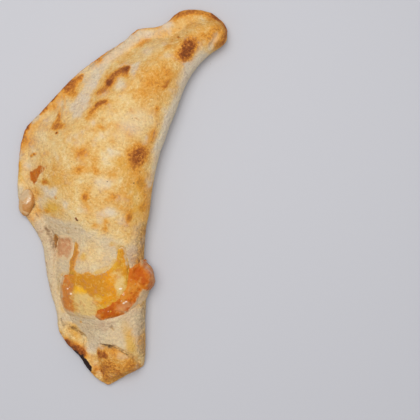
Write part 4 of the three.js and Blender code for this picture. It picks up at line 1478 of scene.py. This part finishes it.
def cheese_material(settings):
    """Melted cheese: uneven, scorched along the tear's edge, and wet in places."""
    recipe = Recipe("melted_cheese", {**WET_FILLING, "Subsurface Radius": (1, 0.6, 0.2)})
    fine = recipe.noise(1.9 * MM, detail=3, roughness=0.7)
    patchy = recipe.noise(4.5 * MM, detail=3)
    grain = fine * 0.7 + patchy
    scorched, stewed, amber = (recipe.field(name) for name in ("scorched", "stewed", "amber"))
    clots = grain.between(0.02, 0.24) * (scorched + stewed + amber).between(0.3, 0.9)
    colour = recipe.layered(
        settings.cheese,
        ((recipe.field("milky") - grain * 1.3).between(0, 1) * 0.9, settings.milky),
        ((scorched + grain * 1.3).between(0, 0.9) * 0.9, settings.scorched),
        ((amber + patchy * 1.3).between(0, 1) * 0.9, settings.amber),
        ((stewed + grain * 1.3).between(0, 0.9) * 0.9, settings.stewed),
        ((recipe.field("bright") - grain * 1.3).between(0, 1) * 0.9, settings.bright),
        (clots * 0.6, settings.curds),
        ((-grain).between(0.02, 0.24) * 0.3, settings.milky),
        ((recipe.field("filmed") + grain * 1.4).between(0, 0.9) * 0.9, settings.film),
        # Painted highlights.
        (recipe.field("fat").between(0.2, 0.9), settings.fat),
    )
    recipe.bump(fine + patchy, 1.1 * MM)
    wet = (recipe.field("wet") + grain).between(0.4, 0.8)
    return recipe.finish(colour, 0.5 + fine * 0.6, wet)


def tomato_material(settings):
    """Cooked tomato with oil and cheese through it, and a film of dough at its edges."""
    recipe = Recipe("cooked_tomato", {**WET_FILLING, "Subsurface Radius": (1, 0.4, 0.15)})
    fine = recipe.noise(2 * MM, detail=3, roughness=0.7)
    patchy = recipe.noise(5 * MM, detail=3)
    grain = fine * 0.7 + patchy
    colour = recipe.layered(
        settings.tomato,
        ((recipe.field("oily") + grain * 1.4 + 0.15).between(0, 1) * 0.8, settings.tomato_light),
        ((recipe.field("deep") - grain * 1.2).between(0, 1) * 0.8, settings.tomato_deep),
        ((recipe.field("dry") + grain).between(0, 1) * 0.85, settings.tomato_dry),
        ((-grain).between(0.04, 0.24) * 0.6, settings.tomato_deep),
        (grain.between(0.06, 0.26) * 0.5, settings.tomato_light),
        ((recipe.field("filmed") + grain).between(0, 0.9) * 0.9, settings.film),
        # Painted highlights.
        (recipe.field("fat").between(0.2, 0.9), settings.fat),
    )
    recipe.bump(fine + patchy, 1.2 * MM)
    wet = (recipe.field("wet") + grain).between(0.4, 0.8)
    return recipe.finish(colour, 0.5 + fine * 0.5, wet)


def ham_material(settings):
    """Cooked ham with a faint grain, under a film of dough round its bare part."""
    recipe = Recipe("cooked_ham", {"Subsurface Weight": 0.06, "Subsurface Scale": SCATTERING})
    fine = recipe.noise(0.9 * MM, detail=3)
    patchy = recipe.noise(3 * MM)
    filmed = (recipe.field("filmed") + fine * 1.2 + patchy * 0.8).between(0, 1)
    streaks = (fine + patchy).between(-0.2, 0.3)
    colour = recipe.layered(settings.ham, (streaks, settings.ham_fat), (filmed * 0.95, settings.film))
    recipe.bump(fine + patchy, 0.5 * MM)
    return recipe.finish(colour, 0.55 + fine * 0.4)


def bubble_material(settings):
    """A thin glossy blister of melted cheese and oil."""
    constants = {"Subsurface Weight": 0.05, "Subsurface Scale": SCATTERING, "Coat Roughness": 0.12}
    recipe = Recipe("cheese_bubble", constants)
    fine = recipe.noise(1.3 * MM, detail=3)
    patchy = recipe.noise(4 * MM)
    grain = (patchy + fine) * 0.8
    foot = (recipe.field("foot") + grain).between(0.1, 0.9)
    pale = (recipe.field("pale") + grain).between(0.1, 0.9)
    colour = recipe.layered(
        settings.bubble,
        (foot, settings.bubble_base),
        # Sunken top, and the painted highlight on the crescent.
        (pale * 0.9, settings.bubble_pale),
    )
    recipe.bump(fine + patchy * 2, 0.5 * MM)
    return recipe.finish(colour, 0.5 + fine * 0.3, 0.8 - foot * 0.7)


def paint_filling(mesh, skin, areas, spread, seed):
    """Paints a filling's areas with uneven outlines, its wet bits and its painted highlights."""
    uneven = skin.shifted(spread, 1.5, seed).shifted(2.2, 0.8, seed + 2)
    fields = {name: uneven.sum_of(marks) for name, marks in areas.items()}
    wet = skin.shifted(3, 0.8, seed + 4).sum_of(WET_AREAS)
    # The fat field holds the painted highlights.
    paint(mesh, **fields, wet=wet, fat=skin.sum_of(PAINTED_HIGHLIGHT_SPOTS))


class PANZEROTTO_OT_cheese(bpy.types.Operator):
    """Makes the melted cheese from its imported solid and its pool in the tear"""

    bl_idname = "panzerotto.cheese"
    bl_label = "Cheese"

    def execute(self, context):
        settings = context.scene.panzerotto_filling
        sheet = pool("cheese_pool", CHEESE_OUTLINE, cheese_rise, POOL_THICKNESS)
        mesh = remeshed("melted_cheese", [welded("cheese"), sheet], settings.voxel, FILLING_SMOOTHING)
        skin = Skin(points_of(mesh))
        goo = 0.3 * layered_noise(skin.points, 5 * MM, 111)
        clots = 0.35 * smooth_step(0.1, 0.7, layered_noise(skin.points, 3 * MM, 121))
        upward = smooth_step(0, 0.7, normals_of(mesh)[:, 2])
        push_out(mesh, (goo + clots) * MM * smooth_step(12, 15, skin.height) * upward)
        paint_filling(mesh, skin, CHEESE_AREAS, 6, 131)
        finish_piece(mesh, cheese_material(settings), "cheese", "cheese")
        return {"FINISHED"}


class PANZEROTTO_OT_tomato(bpy.types.Operator):
    """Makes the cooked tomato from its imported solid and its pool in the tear"""

    bl_idname = "panzerotto.tomato"
    bl_label = "Tomato"

    def execute(self, context):
        settings = context.scene.panzerotto_filling
        sheet = pool("tomato_pool", TOMATO_OUTLINE, tomato_rise, POOL_THICKNESS)
        solids = [welded("tomato", FILLING_SWELL), sheet]
        mesh = remeshed("cooked_tomato", solids, settings.voxel, FILLING_SMOOTHING)
        skin = Skin(points_of(mesh))
        pulp = layered_noise(skin.points, 7 * MM, 141)
        bits = smooth_step(0, 0.7, layered_noise(skin.points, 3 * MM, 151))
        push_out(mesh, 0.7 * (pulp + bits) * MM * smooth_step(7, 11, skin.height))
        paint_filling(mesh, skin, TOMATO_AREAS, 5, 161)
        finish_piece(mesh, tomato_material(settings), "tomato", "tomato")
        return {"FINISHED"}


class PANZEROTTO_OT_ham(bpy.types.Operator):
    """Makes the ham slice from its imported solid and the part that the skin's window shows"""

    bl_idname = "panzerotto.ham"
    bl_label = "Ham"

    def execute(self, context):
        settings = context.scene.panzerotto_filling
        sheet = pool("ham_pool", HAM_OUTLINE, ham_rise, HAM_THICKNESS)
        mesh = remeshed("ham_slice", [welded("ham"), sheet], HAM_STEP, FILLING_SMOOTHING)
        skin = Skin(points_of(mesh))
        push_out(mesh, 0.2 * MM * layered_noise(skin.points, 4 * MM, 171))
        bare = skin.shifted(4, 0.8, 173).depth_inside(BARE_HAM)
        paint(mesh, filmed=smooth_step(2.2, -2.2, bare))
        finish_piece(mesh, ham_material(settings), "ham", "ham")
        return {"FINISHED"}


class PANZEROTTO_OT_seam_bubble(bpy.types.Operator):
    """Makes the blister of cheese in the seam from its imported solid"""

    bl_idname = "panzerotto.seam_bubble"
    bl_label = "Seam bubble"

    def execute(self, context):
        settings = context.scene.panzerotto_filling
        solid = welded("seam_cheese", FILLING_SWELL)
        mesh = remeshed("seam_bubble", [solid], BUBBLE_STEP, BUBBLE_SMOOTHING)
        skin = Skin(points_of(mesh))
        form = skin.sum_of(BLISTER_FORM) * smooth_step(0.1, 0.6, normals_of(mesh)[:, 2])
        push_out(mesh, (form + 0.5 * layered_noise(skin.points, 6 * MM, 181)) * MM)
        uneven = skin.shifted(4, 0.6, 183)
        fields = {name: uneven.sum_of(marks) for name, marks in BLISTER_AREAS.items()}
        fields["foot"] += 0.6 * smooth_step(4.5, 2.5, skin.height)
        paint(mesh, **fields)
        finish_piece(mesh, bubble_material(settings), "cheese", "seam_cheese")
        return {"FINISHED"}


# ---- The stage ----------------------------------------------------------------------------------------

VIEW_TARGET = (0.084, 0.0031, 0.0)
VIEW_UP = Vector((-0.288, 0.958, 0.0))
SENSOR = 36.0
FLOOR_REACH = 3.0
LAMP_TARGET = (0.02, 0.02, 0)
SOFTBOX_PLACE = (-0.1, 0.16, 1.08)
SOFTBOX_WIDTH = 0.9
GLINT_PLACE = (-0.1, 0.3, 1.1)
GLINT_WIDTH = 0.12


def aimed(thing, location, target):
    """Places an object so that it looks from a location at a target, upright in the view."""
    back = (Vector(location) - Vector(target)).normalized()
    side = VIEW_UP.cross(back).normalized()
    turn = Matrix((side, back.cross(side), back)).transposed()
    thing.matrix_world = Matrix.LocRotScale(Vector(location), turn, None)
    bpy.context.scene.collection.objects.link(thing)


def add_lamp(name, location, width, power):
    """A round lamp that shines on the part."""
    lamp = bpy.data.lights.new(name, "AREA")
    lamp.shape = "DISK"
    lamp.size = width
    lamp.energy = power
    aimed(bpy.data.objects.new(name, lamp), location, LAMP_TARGET)


def floor_material(settings):
    """Plain matte floor with a faint unevenness of tone."""
    recipe = Recipe("floor")
    cloud = recipe.noise(0.3)
    colour = recipe.mix(cloud.between(-0.4, 0.4) * 0.06, settings.floor, settings.floor_shade)
    return recipe.finish(colour, 0.7 + cloud * 0.02)


class PANZEROTTO_OT_stage(bpy.types.Operator):
    """Makes the floor, the soft light and the camera"""

    bl_idname = "panzerotto.stage"
    bl_label = "Stage"

    def execute(self, context):
        settings = context.scene.panzerotto_stage
        mesh = bpy.data.meshes.new("floor")
        corners = [(x * FLOOR_REACH, y * FLOOR_REACH, 0) for x, y in ((-1, -1), (1, -1), (1, 1), (-1, 1))]
        mesh.from_pydata(corners, [], [(0, 1, 2, 3)])
        mesh.materials.append(floor_material(settings))
        new_object("floor", mesh)

        add_lamp("softbox", SOFTBOX_PLACE, SOFTBOX_WIDTH, settings.softbox)
        add_lamp("glint", GLINT_PLACE, GLINT_WIDTH, settings.glint)

        world = bpy.data.worlds.new("studio")
        world.use_nodes = True
        background = world.node_tree.nodes["Background"]
        background.inputs["Color"].default_value = settings.sky
        background.inputs["Strength"].default_value = settings.ambient
        context.scene.world = world

        lens = bpy.data.cameras.new("camera")
        lens.sensor_width = SENSOR
        lens.lens = SENSOR * settings.camera_height / settings.field
        camera = bpy.data.objects.new("camera", lens)
        above = (*VIEW_TARGET[:2], settings.camera_height)
        aimed(camera, above, VIEW_TARGET)
        context.scene.camera = camera
        context.scene.view_settings.view_transform = "Standard"
        return {"FINISHED"}


# ---- The add-on ---------------------------------------------------------------------------------------

SETTINGS = {
    "panzerotto_crust": CrustSettings,
    "panzerotto_filling": FillingSettings,
    "panzerotto_stage": StageSettings,
}
OPERATORS = [
    PANZEROTTO_OT_crust,
    PANZEROTTO_OT_specks,
    PANZEROTTO_OT_cheese,
    PANZEROTTO_OT_tomato,
    PANZEROTTO_OT_ham,
    PANZEROTTO_OT_seam_bubble,
    PANZEROTTO_OT_stage,
]


class PANZEROTTO_PT_panel(bpy.types.Panel):
    """Lists the pieces, each with its settings"""

    bl_idname = "PANZEROTTO_PT_panel"
    bl_label = "Panzerotto"
    bl_space_type = "VIEW_3D"
    bl_region_type = "UI"
    bl_category = "Panzerotto"

    def draw(self, context):
        for operator in OPERATORS:
            self.layout.operator(operator.bl_idname)
        for name, group in SETTINGS.items():
            box = self.layout.box()
            for setting in group.__annotations__:
                box.prop(getattr(context.scene, name), setting)


def register():
    for kind in [*SETTINGS.values(), *OPERATORS, PANZEROTTO_PT_panel]:
        bpy.utils.register_class(kind)
    for name, group in SETTINGS.items():
        setattr(bpy.types.Scene, name, Property.PointerProperty(type=group))


def unregister():
    for name in SETTINGS:
        delattr(bpy.types.Scene, name)
    for kind in reversed([*SETTINGS.values(), *OPERATORS, PANZEROTTO_PT_panel]):
        bpy.utils.unregister_class(kind)


def main():
    """Makes every piece and the stage."""
    register()
    for operator in OPERATORS:
        group, name = operator.bl_idname.split(".")
        getattr(getattr(bpy.ops, group), name)()


if __name__ == "__main__":
    main()
